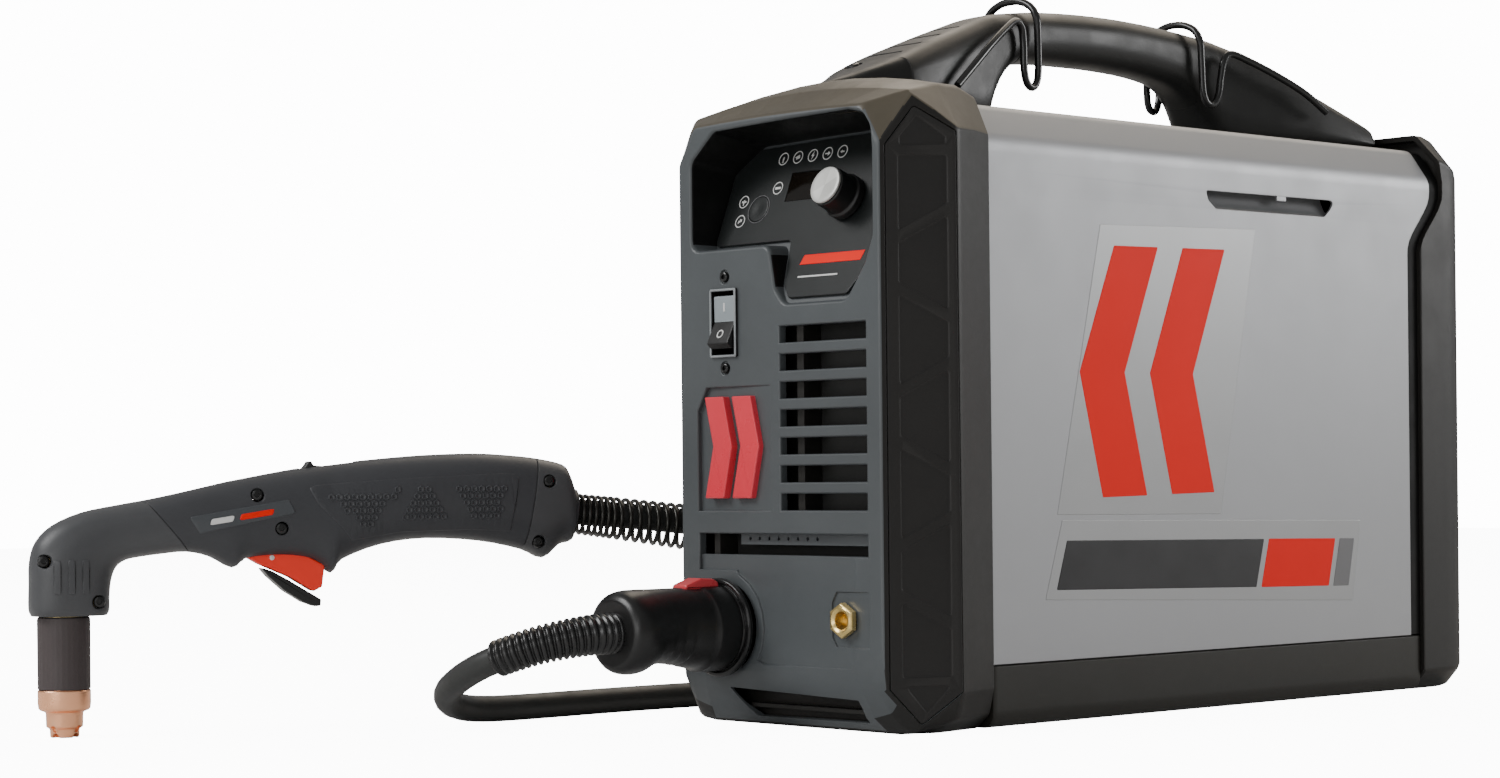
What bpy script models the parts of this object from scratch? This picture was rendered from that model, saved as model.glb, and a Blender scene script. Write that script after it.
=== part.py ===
"""Plasma cutting unit with its hand torch: a portable inverter power source on the floor, the torch
standing on its shield in front of it, and the torch lead coiled beside it.

Frame: +Z up, the front faces -Y, the origin is the centre of the flat underside. Metres throughout.
"""

import math

import bmesh
import bpy
from mathutils import Matrix, Vector

# Driving dimensions of the power source
FRONT_Y = -0.221
REAR_Y = 0.221
FRONT_HALF = 0.070
RIDGE_HALF = 0.086
COVER_HALF = 0.076
REAR_HALF = 0.078
COVER_FRONT_Y = -0.1545
COVER_REAR_Y = 0.175
COVER_REAR_HIGH_Y = 0.1955
SEAL_WIDTH = 0.009
BEND_Z = 0.277
ROOF_Z = 0.295
ROOF_HALF = 0.066
RAIL_Z = 0.030
WALL = 0.003
SHEET = 0.0012
GAP = 0.0004

# Control panel: a plane that leans back from its lower edge
PANEL_LOW = (-0.2175, 0.203)
PANEL_LEAN = math.radians(21.0)
PANEL_NORMAL = Vector((0.0, -math.cos(PANEL_LEAN), math.sin(PANEL_LEAN)))
KNOB_AT = (0.0295, 0.2495)
BUTTON_AT = (-0.0328, 0.2490)
BUTTON_RADIUS = 0.0068
WINDOW = (-0.0156, 0.0092, 0.2515, 0.2657)
CEILING_DROP = 0.0050

# Front face features, as x and z
ROCKER_AT = (-0.0365, 0.194)
SOCKET_AT = (-0.038, 0.0475)
WORK_AT = (0.0455, 0.053)
VENT_X = (0.0020, 0.0602)
VENT_TOP = 0.1908
VENT_PITCH = 0.0132
VENT_HEIGHT = 0.0078
VENT_COUNT = 7
LOW_SLOT = (-0.0565, 0.0603, 0.0825, 0.0925)
FAN_AT = (0.0, 0.140)

# Torch frame: the tip of the shield stands on the floor, the handle runs along TORCH_HEADING
TORCH_TIP = Vector((-0.2269, -0.4721, 0.0))
TORCH_HEADING = math.radians(66.86)
TRIGGER_PIVOT = (0.0885, 0.0865)
SAFETY_PIVOT = (0.0945, 0.0760)

# Torch lead: a free cord of 6.1 m
LEAD_DIAMETER = 0.013
LEAD_PITCH = 0.0132
COIL_CENTRE = (-0.181, 0.060)
COIL_COLUMNS = (0.0588, 0.0720, 0.0852)
COIL_LAYERS = 4
COIL_BASE = 0.0022
PLUG_END_Y = -0.292
FRONT_ROUTE = [
    (-0.0380, -0.292, 0.0475), (-0.0398, -0.304, 0.0470), (-0.0450, -0.316, 0.0452),
    (-0.0525, -0.326, 0.0425), (-0.0625, -0.334, 0.0385), (-0.0745, -0.3385, 0.0340),
    (-0.0870, -0.3395, 0.0290), (-0.0995, -0.3375, 0.0240), (-0.1115, -0.3330, 0.0190),
    (-0.1215, -0.3255, 0.0143), (-0.1290, -0.3155, 0.0107), (-0.1338, -0.3040, 0.0084),
    (-0.1362, -0.2900, 0.0072), (-0.1372, -0.2740, 0.0068), (-0.1378, -0.2500, 0.0067),
    (-0.1384, -0.2200, 0.0067), (-0.1380, -0.1900, 0.0067), (-0.1360, -0.1600, 0.0067),
    (-0.1315, -0.1300, 0.0068), (-0.1245, -0.1000, 0.0069), (-0.1165, -0.0720, 0.0072),
    (-0.1080, -0.0440, 0.0077), (-0.1010, -0.0180, 0.0083), (-0.0970, 0.0080, 0.0087),
]
REAR_ROUTE = [
    (-0.1935, -0.0422, 0.0500), (-0.1740, -0.0563, 0.0505), (-0.1570, -0.0685, 0.0525),
    (-0.1400, -0.0805, 0.0570), (-0.1250, -0.0925, 0.0635), (-0.1120, -0.1060, 0.0710),
    (-0.1020, -0.1210, 0.0785), (-0.0960, -0.1370, 0.0855), (-0.0950, -0.1530, 0.0910),
    (-0.0975, -0.1660, 0.0943),
]
RELIEF_STEPS = 15
SPRING_START_S = 0.2495
SPRING_END_S = 0.3215


# ---------------------------------------------------------------- helpers
def clear_scene():
    for obj in list(bpy.data.objects):
        bpy.data.objects.remove(obj, do_unlink=True)


def look(name, colour, roughness, metallic=0.0):
    """One Principled material for one sub-part."""
    mat = bpy.data.materials.new(name)
    mat.use_nodes = True
    shader = mat.node_tree.nodes["Principled BSDF"]
    shader.inputs["Base Color"].default_value = (*colour, 1.0)
    shader.inputs["Roughness"].default_value = roughness
    shader.inputs["Metallic"].default_value = metallic
    mat.diffuse_color = (*colour, 1.0)
    return mat


CAP_DARK = ((0.10, 0.11, 0.115), 0.45)
BLACK = ((0.02, 0.02, 0.022), 0.5)
GRAPHITE = ((0.05, 0.05, 0.055), 0.5)
SILVER = ((0.55, 0.57, 0.58), 0.35, 0.8)
RED = ((0.75, 0.06, 0.05), 0.35)
COPPER = ((0.85, 0.48, 0.34), 0.25, 1.0)
BRASS = ((0.75, 0.58, 0.25), 0.25, 1.0)
ALUMINIUM = ((0.75, 0.76, 0.77), 0.35, 1.0)
STEEL = ((0.55, 0.55, 0.56), 0.4, 1.0)
BOARD_GREEN = ((0.03, 0.16, 0.07), 0.5)
RUBBER = ((0.03, 0.03, 0.03), 0.7)


def finish(obj, colours, parent=None, origin=None):
    """Gives an object its material and its parent, and moves its origin onto a point."""
    obj.data.materials.append(look(obj.name, *colours))
    if origin is not None:
        obj.data.transform(Matrix.Translation(-Vector(origin)))
        obj.location = origin
    if parent is not None:
        obj.parent = parent
    return obj


def mesh_object(name, verts, faces, smooth=False):
    mesh = bpy.data.meshes.new(name)
    mesh.from_pydata([tuple(v) for v in verts], [], faces)
    bm = bmesh.new()
    bm.from_mesh(mesh)
    bmesh.ops.recalc_face_normals(bm, faces=bm.faces)
    bm.to_mesh(mesh)
    bm.free()
    if smooth:
        mesh.shade_smooth()
        mesh.set_sharp_from_angle(angle=math.radians(35))
    obj = bpy.data.objects.new(name, mesh)
    bpy.context.scene.collection.objects.link(obj)
    return obj


def loft(name, rings, smooth=False, loop=False):
    """Joins rings of equal point counts. The ends are capped unless the rings close on themselves."""
    count = len(rings[0])
    verts = [point for ring in rings for point in ring]
    faces = []
    for k in range(len(rings) if loop else len(rings) - 1):
        here = k * count
        there = (k + 1) % len(rings) * count
        for i in range(count):
            j = (i + 1) % count
            faces.append((here + i, here + j, there + j, there + i))
    if not loop:
        faces.append(tuple(range(count - 1, -1, -1)))
        faces.append(tuple(range(len(verts) - count, len(verts))))
    return mesh_object(name, verts, faces, smooth)


def spread(outline, axis, at):
    """Points of a plane outline set at one place along an axis."""
    if axis == "X":
        return [(at, a, b) for a, b in outline]
    if axis == "Y":
        return [(a, at, b) for a, b in outline]
    return [(a, b, at) for a, b in outline]


def prism(name, outline, axis, low, high):
    return loft(name, [spread(outline, axis, low), spread(outline, axis, high)])


def box(name, low, high):
    outline = [(low[0], low[1]), (high[0], low[1]), (high[0], high[1]), (low[0], high[1])]
    return prism(name, outline, "Z", low[2], high[2])


def rounded(points, radius, steps=2):
    """The outline with each corner replaced by a short arc."""
    result = []
    count = len(points)
    for i, point in enumerate(points):
        corner = Vector(point)
        before = Vector(points[i - 1]) - corner
        after = Vector(points[(i + 1) % count]) - corner
        reach = radius / math.tan(max(before.angle(after), 0.2) / 2)
        reach = min(reach, 0.45 * before.length, 0.45 * after.length)
        start = corner + before.normalized() * reach
        end = corner + after.normalized() * reach
        for k in range(steps + 1):
            t = k / steps
            result.append(tuple(start * (1 - t) ** 2 + corner * 2 * t * (1 - t) + end * t * t))
    return result


def rectangle(x_low, x_high, z_low, z_high):
    return [(x_low, z_low), (x_high, z_low), (x_high, z_high), (x_low, z_high)]


def circle(centre, radius, count=24):
    turn = 2 * math.pi / count
    return [(centre[0] + radius * math.cos(turn * i), centre[1] + radius * math.sin(turn * i))
            for i in range(count)]


def turned(name, profile, count=24, loop=False):
    """Revolves (radius, height) points about Z. A loop profile is a ring, any other starts and ends at radius 0."""
    turn = 2 * math.pi / count
    verts = []
    rows = []
    for radius, height in profile:
        if radius == 0:
            rows.append([len(verts)] * count)
            verts.append((0.0, 0.0, height))
            continue
        rows.append(list(range(len(verts), len(verts) + count)))
        verts += [(radius * math.cos(turn * i), radius * math.sin(turn * i), height) for i in range(count)]
    faces = []
    for k in range(len(rows) if loop else len(rows) - 1):
        a, b = rows[k], rows[(k + 1) % len(rows)]
        for i in range(count):
            j = (i + 1) % count
            face = [a[i], a[j], b[j], b[i]]
            faces.append(tuple(dict.fromkeys(face)))
    return mesh_object(name, verts, faces, smooth=True)


def aim(obj, place, direction):
    """Turns an object's +Z to a direction and sets it at a place."""
    obj.rotation_euler = Vector(direction).to_track_quat("Z", "Y").to_euler()
    obj.location = place
    return obj


def rod(name, points, radius, resolution=2):
    """A round bar along a list of points, with closed ends."""
    curve = bpy.data.curves.new(name, "CURVE")
    curve.dimensions = "3D"
    curve.bevel_depth = radius
    curve.bevel_resolution = resolution
    curve.use_fill_caps = True
    spline = curve.splines.new("POLY")
    spline.points.add(len(points) - 1)
    for place, point in zip(spline.points, points):
        place.co = (*point, 1.0)
    obj = bpy.data.objects.new(name, curve)
    bpy.context.scene.collection.objects.link(obj)
    return obj


def boolean(obj, operation, others):
    for other in others:
        mod = obj.modifiers.new(other.name, "BOOLEAN")
        mod.operation = operation
        mod.solver = "EXACT"
        mod.object = other
        other.hide_render = True
        other.display_type = "WIRE"
    return obj


def cut(obj, *cutters):
    return boolean(obj, "DIFFERENCE", cutters)


def join(obj, *others):
    return boolean(obj, "UNION", others)


def smooth_path(points, step):
    """Points a step apart on a Catmull-Rom curve through the given ones."""
    nodes = [Vector(p) for p in points]
    nodes = [2 * nodes[0] - nodes[1]] + nodes + [2 * nodes[-1] - nodes[-2]]
    fine = []
    for a, b, c, d in zip(nodes, nodes[1:], nodes[2:], nodes[3:]):
        for k in range(12):
            t = k / 12
            fine.append(0.5 * (2 * b + (c - a) * t + (2 * a - 5 * b + 4 * c - d) * t * t
                               + (3 * b - a - 3 * c + d) * t ** 3))
    fine.append(nodes[-2])
    total = sum((q - p).length for p, q in zip(fine, fine[1:]))
    pieces = max(2, round(total / step))
    kept = [fine[0]]
    run = 0.0
    for p, q in zip(fine, fine[1:]):
        run += (q - p).length
        if run >= total / pieces * len(kept) - 1e-9 and len(kept) < pieces:
            kept.append(q)
    kept.append(fine[-1])
    return kept


# ---------------------------------------------------------------- housing
def cap_section(half, shoulder, top_half, top, low=0.022, foot_half=None, foot=0.0):
    """Outline of the front cap across one station, as x and z."""
    foot_half = half - 0.013 if foot_half is None else foot_half
    right = [(foot_half, foot), (half, low), (half, shoulder), (top_half, top)]
    left = [(-x, z) for x, z in reversed(right)]
    return rounded(right + left, 0.006, 2)


FRONT_STATIONS = [
    # y, half width, shoulder height, roof half width, roof height
    (FRONT_Y, FRONT_HALF - 0.0018, 0.2690, 0.0505, 0.2888),
    (FRONT_Y + 0.0020, FRONT_HALF, 0.2710, 0.0525, 0.2910),
    (FRONT_Y + 0.0157, 0.0767, 0.2895, 0.0588, 0.2998),
    (FRONT_Y + 0.0360, RIDGE_HALF, 0.2790, 0.0660, 0.3060),
    (FRONT_Y + 0.0520, 0.0810, 0.2800, 0.0680, 0.3045),
    (COVER_FRONT_Y - GAP, 0.0772, 0.2790, 0.0670, 0.2990),
]


def control_outline(grow=0.0):
    """Outline of the control recess in the front face, as x and z."""
    points = [(-0.0605, 0.2300), (-0.0605, 0.2740), (-0.0430, 0.2865), (0.0645, 0.2865), (0.0645, 0.2300),
              (0.0595, 0.2180), (0.0470, 0.2015), (0.0050, 0.2015), (-0.0010, 0.2090), (-0.0050, 0.2300)]
    if grow:
        centre = Vector((0.008, 0.248))
        points = [tuple(Vector(p) + (Vector(p) - centre).normalized() * grow) for p in points]
    return points


def receding(z):
    """The height that an outline point reaches at the panel: the recess's ceiling slopes down to it."""
    return z - CEILING_DROP * max(0.0, (z - 0.2300) / 0.0565)


def panel_y(z):
    return PANEL_LOW[0] + (z - PANEL_LOW[1]) * math.tan(PANEL_LEAN)


def panel_point(at, out=0.0):
    """A place on the control panel's face, given as x and z, raised along its normal."""
    return Vector((at[0], panel_y(at[1]), at[1])) + PANEL_NORMAL * out


def recess_block(name, grow, front, behind):
    """The control recess as a solid from the front face back to a plane parallel to the panel."""
    outline = rounded(control_outline(grow), 0.004, 2)
    near = [(x, front, z) for x, z in outline]
    far = [(x * 0.97, panel_y(receding(z)) + behind, receding(z)) for x, z in outline]
    return loft(name, [near, far])


def front_cap():
    """Front moulding: flared sides, tilted control recess, vent slots and openings."""
    outer = [spread(cap_section(*row[1:]), "Y", row[0]) for row in FRONT_STATIONS]
    cap = loft("front_cap", outer)
    inner = []
    for y, half, shoulder, top_half, top in FRONT_STATIONS[2:]:
        inner.append(spread(cap_section(half - WALL, shoulder - 0.002, top_half - WALL, top - WALL,
                                        0.022, half - 0.017, WALL), "Y", y))
    first = [(x, FRONT_Y + 0.0045, z) for x, z in
             cap_section(FRONT_HALF - WALL, 0.268, 0.0505, 0.287, 0.022, FRONT_HALF - 0.017, WALL)]
    last = [(x, COVER_FRONT_Y + 0.002, z) for x, _, z in inner[-1]]
    cavity = loft("cap_cavity", [first] + inner + [last])
    join(cut(cap, cavity), recess_block("recess_walls", 0.0025, FRONT_Y + 0.003, 0.0025))
    cut(cap, recess_block("recess_pocket", 0.0, FRONT_Y - 0.002, 0.0), front_cutters(), badge_recess(),
        chin_recess(), knob_hole("cap_knob_hole"), button_hole("cap_button_hole"))
    return finish(cap, CAP_DARK)


def front_cutters():
    """Every straight opening through the front wall, as one group of separate bodies."""
    low, high = FRONT_Y - 0.004, FRONT_Y + 0.012
    pieces = []
    for i in range(VENT_COUNT):
        top = VENT_TOP - i * VENT_PITCH
        pieces.append(prism("vent_cut", rectangle(*VENT_X, top - VENT_HEIGHT, top), "Y", low, high))
    pieces.append(prism("slot_cut", rectangle(*LOW_SLOT), "Y", low, high))
    x, z = ROCKER_AT
    pieces.append(prism("rocker_cut", rectangle(x - 0.0098, x + 0.0098, z - 0.0163, z + 0.0163), "Y", low, high))
    pieces.append(prism("socket_cut", circle(SOCKET_AT, 0.0215), "Y", low, high))
    pieces.append(prism("work_cut", circle(WORK_AT, 0.0066, 16), "Y", low, high))
    return merged("front_openings", pieces)


def merged(name, pieces):
    """Several closed bodies held as one mesh, used as a single cutter."""
    bm = bmesh.new()
    for piece in pieces:
        bm.from_mesh(piece.data)
        bpy.data.objects.remove(piece)
    mesh = bpy.data.meshes.new(name)
    bm.to_mesh(mesh)
    bm.free()
    obj = bpy.data.objects.new(name, mesh)
    bpy.context.scene.collection.objects.link(obj)
    return obj


def badge_outline():
    return [(-0.0570, 0.1035), (-0.0050, 0.1035), (-0.0050, 0.1630), (-0.0503, 0.1630), (-0.0570, 0.1520)]


def badge_recess():
    """A wedge-shaped pocket, deep at its left side and flush at its right."""
    near = [(x, FRONT_Y - 0.001, z) for x, z in badge_outline()]
    far = [(x, FRONT_Y + 0.0002 + 0.0024 * (-0.005 - x) / 0.052, z) for x, z in badge_outline()]
    return loft("badge_pocket", [near, far])


def chin_recess():
    """A scoop under the front face."""
    outline = [(-0.036, 0.0175), (0.049, 0.0150), (0.052, 0.0050), (-0.026, 0.0045)]
    near = [(x, FRONT_Y - 0.002, z) for x, z in outline]
    far = [(x * 0.96, FRONT_Y + 0.0030, z) for x, z in outline]
    return loft("chin_scoop", [near, far])


def knob_hole(name):
    return aim(turned(name, [(0, -0.012), (0.0040, -0.012), (0.0040, 0.006), (0, 0.006)], 16),
               panel_point(KNOB_AT), PANEL_NORMAL)


def button_hole(name):
    reach = BUTTON_RADIUS + GAP
    return aim(turned(name, [(0, -0.012), (reach, -0.012), (reach, 0.006), (0, 0.006)], 24),
               panel_point(BUTTON_AT), PANEL_NORMAL)


def control_panel():
    """The printed overlay plate that lies on the floor of the control recess."""
    outline = [(x, receding(z)) for x, z in rounded(control_outline(-0.0022), 0.003, 2)]
    near = [(x * 0.985, panel_y(z) - 0.0016, z) for x, z in outline]
    far = [(x * 0.985, panel_y(z) - GAP, z) for x, z in outline]
    plate = loft("control_panel", [near, far])
    window = rectangle(*WINDOW)
    window_near = [(x, panel_y(z) - 0.004, z) for x, z in window]
    window_far = [(x, panel_y(z) + 0.002, z) for x, z in window]
    cut(plate, knob_hole("panel_knob_hole"), button_hole("panel_button_hole"),
        loft("window_cut", [window_near, window_far]))
    return finish(plate, GRAPHITE)


def display_window():
    inset = 0.0003
    x_low, x_high, z_low, z_high = WINDOW
    outline = rectangle(x_low + inset, x_high - inset, z_low + inset, z_high - inset)
    near = [(x, panel_y(z) - 0.0014, z) for x, z in outline]
    far = [(x, panel_y(z) - GAP, z) for x, z in outline]
    return finish(loft("display_window", [near, far]), ((0.01, 0.01, 0.012), 0.1))


def adjustment_knob():
    """Stepped black knob on a shaft, its origin on the shaft's axis at the panel's face."""
    profile = [(0, -0.0060), (0.0034, -0.0060), (0.0034, 0.0022), (0.0112, 0.0022), (0.0112, 0.0060),
               (0.0100, 0.0070), (0.0098, 0.0158), (0.0092, 0.0164), (0, 0.0164)]
    knob = turned("adjustment_knob", profile, 28)
    return aim(finish(knob, BLACK), panel_point(KNOB_AT), PANEL_NORMAL)


def knob_face():
    profile = [(0, 0.0167), (0.0090, 0.0167), (0.0090, 0.0176), (0.0084, 0.0182), (0, 0.0182)]
    face = turned("knob_face", profile, 28)
    return aim(finish(face, ALUMINIUM), panel_point(KNOB_AT), PANEL_NORMAL)


def encoder():
    profile = [(0, -0.016), (0.0065, -0.016), (0.0065, -0.0064), (0, -0.0064)]
    return aim(finish(turned("knob_encoder", profile, 16), STEEL), panel_point(KNOB_AT), PANEL_NORMAL)


def mode_button():
    profile = [(0, -0.0036), (BUTTON_RADIUS, -0.0036), (BUTTON_RADIUS, 0.0018), (BUTTON_RADIUS - 0.0006, 0.0022),
               (0, 0.0022)]
    return aim(finish(turned("mode_button", profile, 28), GRAPHITE), panel_point(BUTTON_AT), PANEL_NORMAL)


def rocker_bezel():
    """The rocker switch's body: a framed box pressed into the front wall."""
    x, z = ROCKER_AT
    flange = prism("rocker_bezel", rounded(rectangle(x - 0.0107, x + 0.0107, z - 0.0172, z + 0.0172), 0.001, 1),
                   "Y", FRONT_Y - 0.0018, FRONT_Y - GAP)
    body = prism("rocker_body", rectangle(x - 0.0093, x + 0.0093, z - 0.0158, z + 0.0158),
                 "Y", FRONT_Y - 0.0010, FRONT_Y + 0.0240)
    well = prism("rocker_well", rectangle(x - 0.0084, x + 0.0084, z - 0.0150, z + 0.0150),
                 "Y", FRONT_Y - 0.0030, FRONT_Y + 0.0200)
    return finish(cut(join(flange, body), well), BLACK)


def power_rocker():
    """Rocker at ON: the upper half is pressed in and the lower half stands out."""
    x, z = ROCKER_AT
    pivot = Vector((x, FRONT_Y + 0.004, z))
    profile = [(-0.0070, 0.0118), (-0.0042, 0.0000), (-0.0070, -0.0118), (-0.0035, -0.0136), (0.0060, -0.0075),
               (0.0078, 0.0000), (0.0060, 0.0075), (-0.0035, 0.0136)]
    tilt = math.radians(-12)
    outline = []
    for y, up in profile:
        outline.append((y * math.cos(tilt) - up * math.sin(tilt), y * math.sin(tilt) + up * math.cos(tilt)))
    outline = rounded(outline, 0.0012, 2)
    rocker = prism("power_rocker", [(pivot.y + a, pivot.z + b) for a, b in outline], "X", x - 0.0079, x + 0.0079)
    return finish(rocker, BLACK, origin=pivot)


def switch_screws():
    x, z = ROCKER_AT
    for name, height in (("switch_screw_upper", z + 0.0222), ("switch_screw_lower", z - 0.0218)):
        profile = [(0, 0.0002), (0.0029, 0.0002), (0.0029, 0.0010), (0.0022, 0.0016), (0, 0.0016)]
        screw = turned(name, profile, 14)
        aim(finish(screw, BLACK), (x, FRONT_Y, height), (0, -1, 0))


def badge_plate():
    """A plain raised emblem: a slanted plate with three chevron steps."""
    outline = [(-0.0490, 0.1100), (-0.0180, 0.1100), (-0.0105, 0.1340), (-0.0180, 0.1570), (-0.0440, 0.1570),
               (-0.0365, 0.1340)]
    plate = prism("badge_emblem", rounded(outline, 0.0010, 1), "Y", FRONT_Y - 0.0028, FRONT_Y - GAP)
    return finish(plate, RED)


def base_pan():
    """Sheet tray with a flat underside and upturned sides."""
    outer = [(COVER_HALF - 0.0004, RAIL_Z), (COVER_HALF - 0.0004, 0.0065), (COVER_HALF - 0.0070, 0.0)]
    inner = [(COVER_HALF - 0.0070 - 0.001, 0.002), (COVER_HALF - 0.0026, 0.0075), (COVER_HALF - 0.0026, RAIL_Z)]
    half = outer + inner[:0]
    outline = rounded_open(half) + [(-x, z) for x, z in reversed(rounded_open(half))]
    outline += [(-x, z) for x, z in reversed(inner)] + inner
    return finish(prism("base_pan", outline, "Y", COVER_FRONT_Y, COVER_REAR_Y + SEAL_WIDTH - GAP), GRAPHITE)


def rounded_open(points):
    """Softens the one bend of a three-point run."""
    a, b, c = (Vector(p) for p in points)
    return [tuple(a), tuple(b.lerp(a, 0.18)), tuple(b.lerp(c, 0.35)), tuple(c)]


def cover_rear_y(z):
    """The cover's rear edge steps back under the rear cap's shoulder."""
    if z < 0.243:
        return COVER_REAR_Y
    if z < BEND_Z:
        return COVER_REAR_Y + (z - 0.243) / (BEND_Z - 0.006 - 0.243) * (COVER_REAR_HIGH_Y - COVER_REAR_Y) \
            if z < BEND_Z - 0.006 else COVER_REAR_HIGH_Y
    return COVER_REAR_HIGH_Y - (z - BEND_Z) * 0.25


def cover_path(inset, low):
    """The cover's cross-section line, as x and z, from the right lower edge over the roof to the left one."""
    half = COVER_HALF - inset
    roof = ROOF_HALF - inset * 0.6
    top = ROOF_Z - inset
    right = [(half, low), (half, 0.243), (half, BEND_Z - 0.006), (half, BEND_Z - inset * 0.3), (roof, top)]
    return right + [(-x, z) for x, z in reversed(right)]


def sheet(name, outer, inner, front, rear):
    """A folded sheet between two section lines, with a front and a rear edge that depend on height."""
    rings = []
    for (x1, z1), (x2, z2) in zip(outer, inner):
        rings.append([(x1, front(z1), z1), (x1, rear(z1), z1), (x2, rear(z1), z2), (x2, front(z1), z2)])
    return loft(name, rings)


def side_cover():
    """Silver sheet over both sides and the roof, with a pressed louvre slot in each side."""
    cover = sheet("side_cover", cover_path(0, RAIL_Z + GAP), cover_path(SHEET, RAIL_Z + GAP),
                  lambda z: COVER_FRONT_Y, cover_rear_y)
    slot = rounded([(0.0045, 0.2620), (0.0100, 0.2520), (0.1040, 0.2520), (0.1105, 0.2570), (0.1100, 0.2620)],
                   0.002, 2)
    cut(cover, prism("louvre_cut", slot, "X", -0.1, 0.1))
    return finish(cover, SILVER)


def rear_seal():
    """Dark strip that fills the step between the cover and the rear cap."""
    def front(z):
        return cover_rear_y(z) - 0.004

    def rear(z):
        return cover_rear_y(z) + SEAL_WIDTH + 0.0005

    inset = SHEET + GAP
    seal = sheet("rear_seal", cover_path(inset, RAIL_Z + 0.002), cover_path(inset + 0.0016, RAIL_Z + 0.002),
                 front, rear)
    return finish(seal, RUBBER)


def rear_section(inset, drop=0.0):
    half = REAR_HALF - inset
    right = [(half - 0.008, drop), (half, 0.0090), (half, 0.243), (half, BEND_Z - 0.006), (half, 0.2885 - inset * 0.3),
             (0.0650 - inset * 0.6, 0.3040 - inset)]
    return right + [(-x, z) for x, z in reversed(right)]


def rear_cap():
    """Rear moulding: a deep frame with a recessed, slotted back panel."""
    front_y = COVER_REAR_Y + SEAL_WIDTH
    high_y = COVER_REAR_HIGH_Y + SEAL_WIDTH
    front = [(x, front_y, z) for x, z in rear_section(0)]
    near = [(x, REAR_Y - 0.004, z) for x, z in rear_section(0)]
    last = [(x, REAR_Y, z) for x, z in rear_section(0.003, 0.002)]
    cap = loft("rear_cap", [front, near, last])
    hollow_front = [(x, COVER_REAR_Y - 0.004, z) for x, z in rear_section(WALL, WALL)]
    hollow_back = [(x, REAR_Y - 0.0155, z) for x, z in rear_section(WALL, WALL)]
    pocket = prism("rear_pocket", rounded(rectangle(-0.060, 0.060, 0.022, 0.272), 0.006), "Y",
                   REAR_Y - 0.012, REAR_Y + 0.002)
    pieces = []
    for i in range(9):
        low = 0.085 + i * 0.0135
        pieces.append(prism("grille_cut", rectangle(-0.050, 0.050, low, low + 0.0065), "Y", 0.19, 0.23))
    pieces.append(prism("gland_cut", circle((0.036, 0.050), 0.0105, 20), "Y", 0.19, 0.23))
    pieces.append(prism("inlet_cut", circle((-0.036, 0.050), 0.0080, 16), "Y", 0.19, 0.23))
    step = prism("rear_step", [(front_y - 0.01, 0.243), (front_y, 0.243), (high_y, BEND_Z - 0.006), (high_y, BEND_Z),
                               (high_y - 0.006, 0.310), (front_y - 0.01, 0.310)], "X", -0.1, 0.1)
    cut(cap, loft("rear_hollow", [hollow_front, hollow_back]), step, pocket, merged("rear_openings", pieces))
    return finish(cap, CAP_DARK)


# ---------------------------------------------------------------- carrying handle
HANDLE_STATIONS = [
    # y, top, bottom, half width
    (-0.190, 0.3082, 0.3057, 0.0200), (-0.185, 0.3102, 0.3065, 0.0245), (-0.169, 0.3165, 0.3050, 0.0280),
    (-0.1547, 0.3223, 0.2997, 0.0285), (-0.1535, 0.3229, 0.2956, 0.0285), (-0.140, 0.3288, 0.2956, 0.0275),
    (-0.115, 0.3386, 0.2956, 0.0245),
    (-0.095, 0.3460, 0.2956, 0.0215), (-0.088, 0.3485, 0.3060, 0.0200), (-0.079, 0.3510, 0.3180, 0.0185),
    (-0.065, 0.3532, 0.3265, 0.0160), (-0.045, 0.3558, 0.3295, 0.0143), (-0.018, 0.3576, 0.3303, 0.0140),
    (0.010, 0.3582, 0.3304, 0.0140), (0.038, 0.3576, 0.3290, 0.0140), (0.062, 0.3560, 0.3250, 0.0145),
    (0.077, 0.3545, 0.3155, 0.0155), (0.088, 0.3528, 0.3030, 0.0178), (0.094, 0.3512, 0.2956, 0.0195),
    (0.120, 0.3430, 0.2956, 0.0280), (0.150, 0.3298, 0.2956, 0.0370), (0.178, 0.3172, 0.2956, 0.0435),
    (0.1905, 0.3115, 0.2956, 0.0450),
]
FRONT_LEG_END = 10
GRIP_END = 16


def handle_ring(station, shift=0.0):
    y, top, bottom, half = station
    height = (top - bottom) / 2
    corner = min(half, height) * (0.95 if height > 0.010 and half < 0.018 else 0.55)
    outline = rounded([(-half, bottom), (half, bottom), (half, top), (-half, top)], corner, 4)
    return [(x, y + shift, z) for x, z in outline]


def handle():
    """Arched handle in three mouldings: two saddles and the round grip between them."""
    spans = [("handle_front_leg", 0, FRONT_LEG_END), ("handle_grip", FRONT_LEG_END, GRIP_END),
             ("handle_rear_leg", GRIP_END, len(HANDLE_STATIONS) - 1)]
    for name, first, last in spans:
        rings = [handle_ring(row) for row in HANDLE_STATIONS[first:last + 1]]
        if first:
            rings[0] = handle_ring(HANDLE_STATIONS[first], 0.0003)
        finish(loft(name, rings, smooth=True), GRAPHITE)


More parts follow.
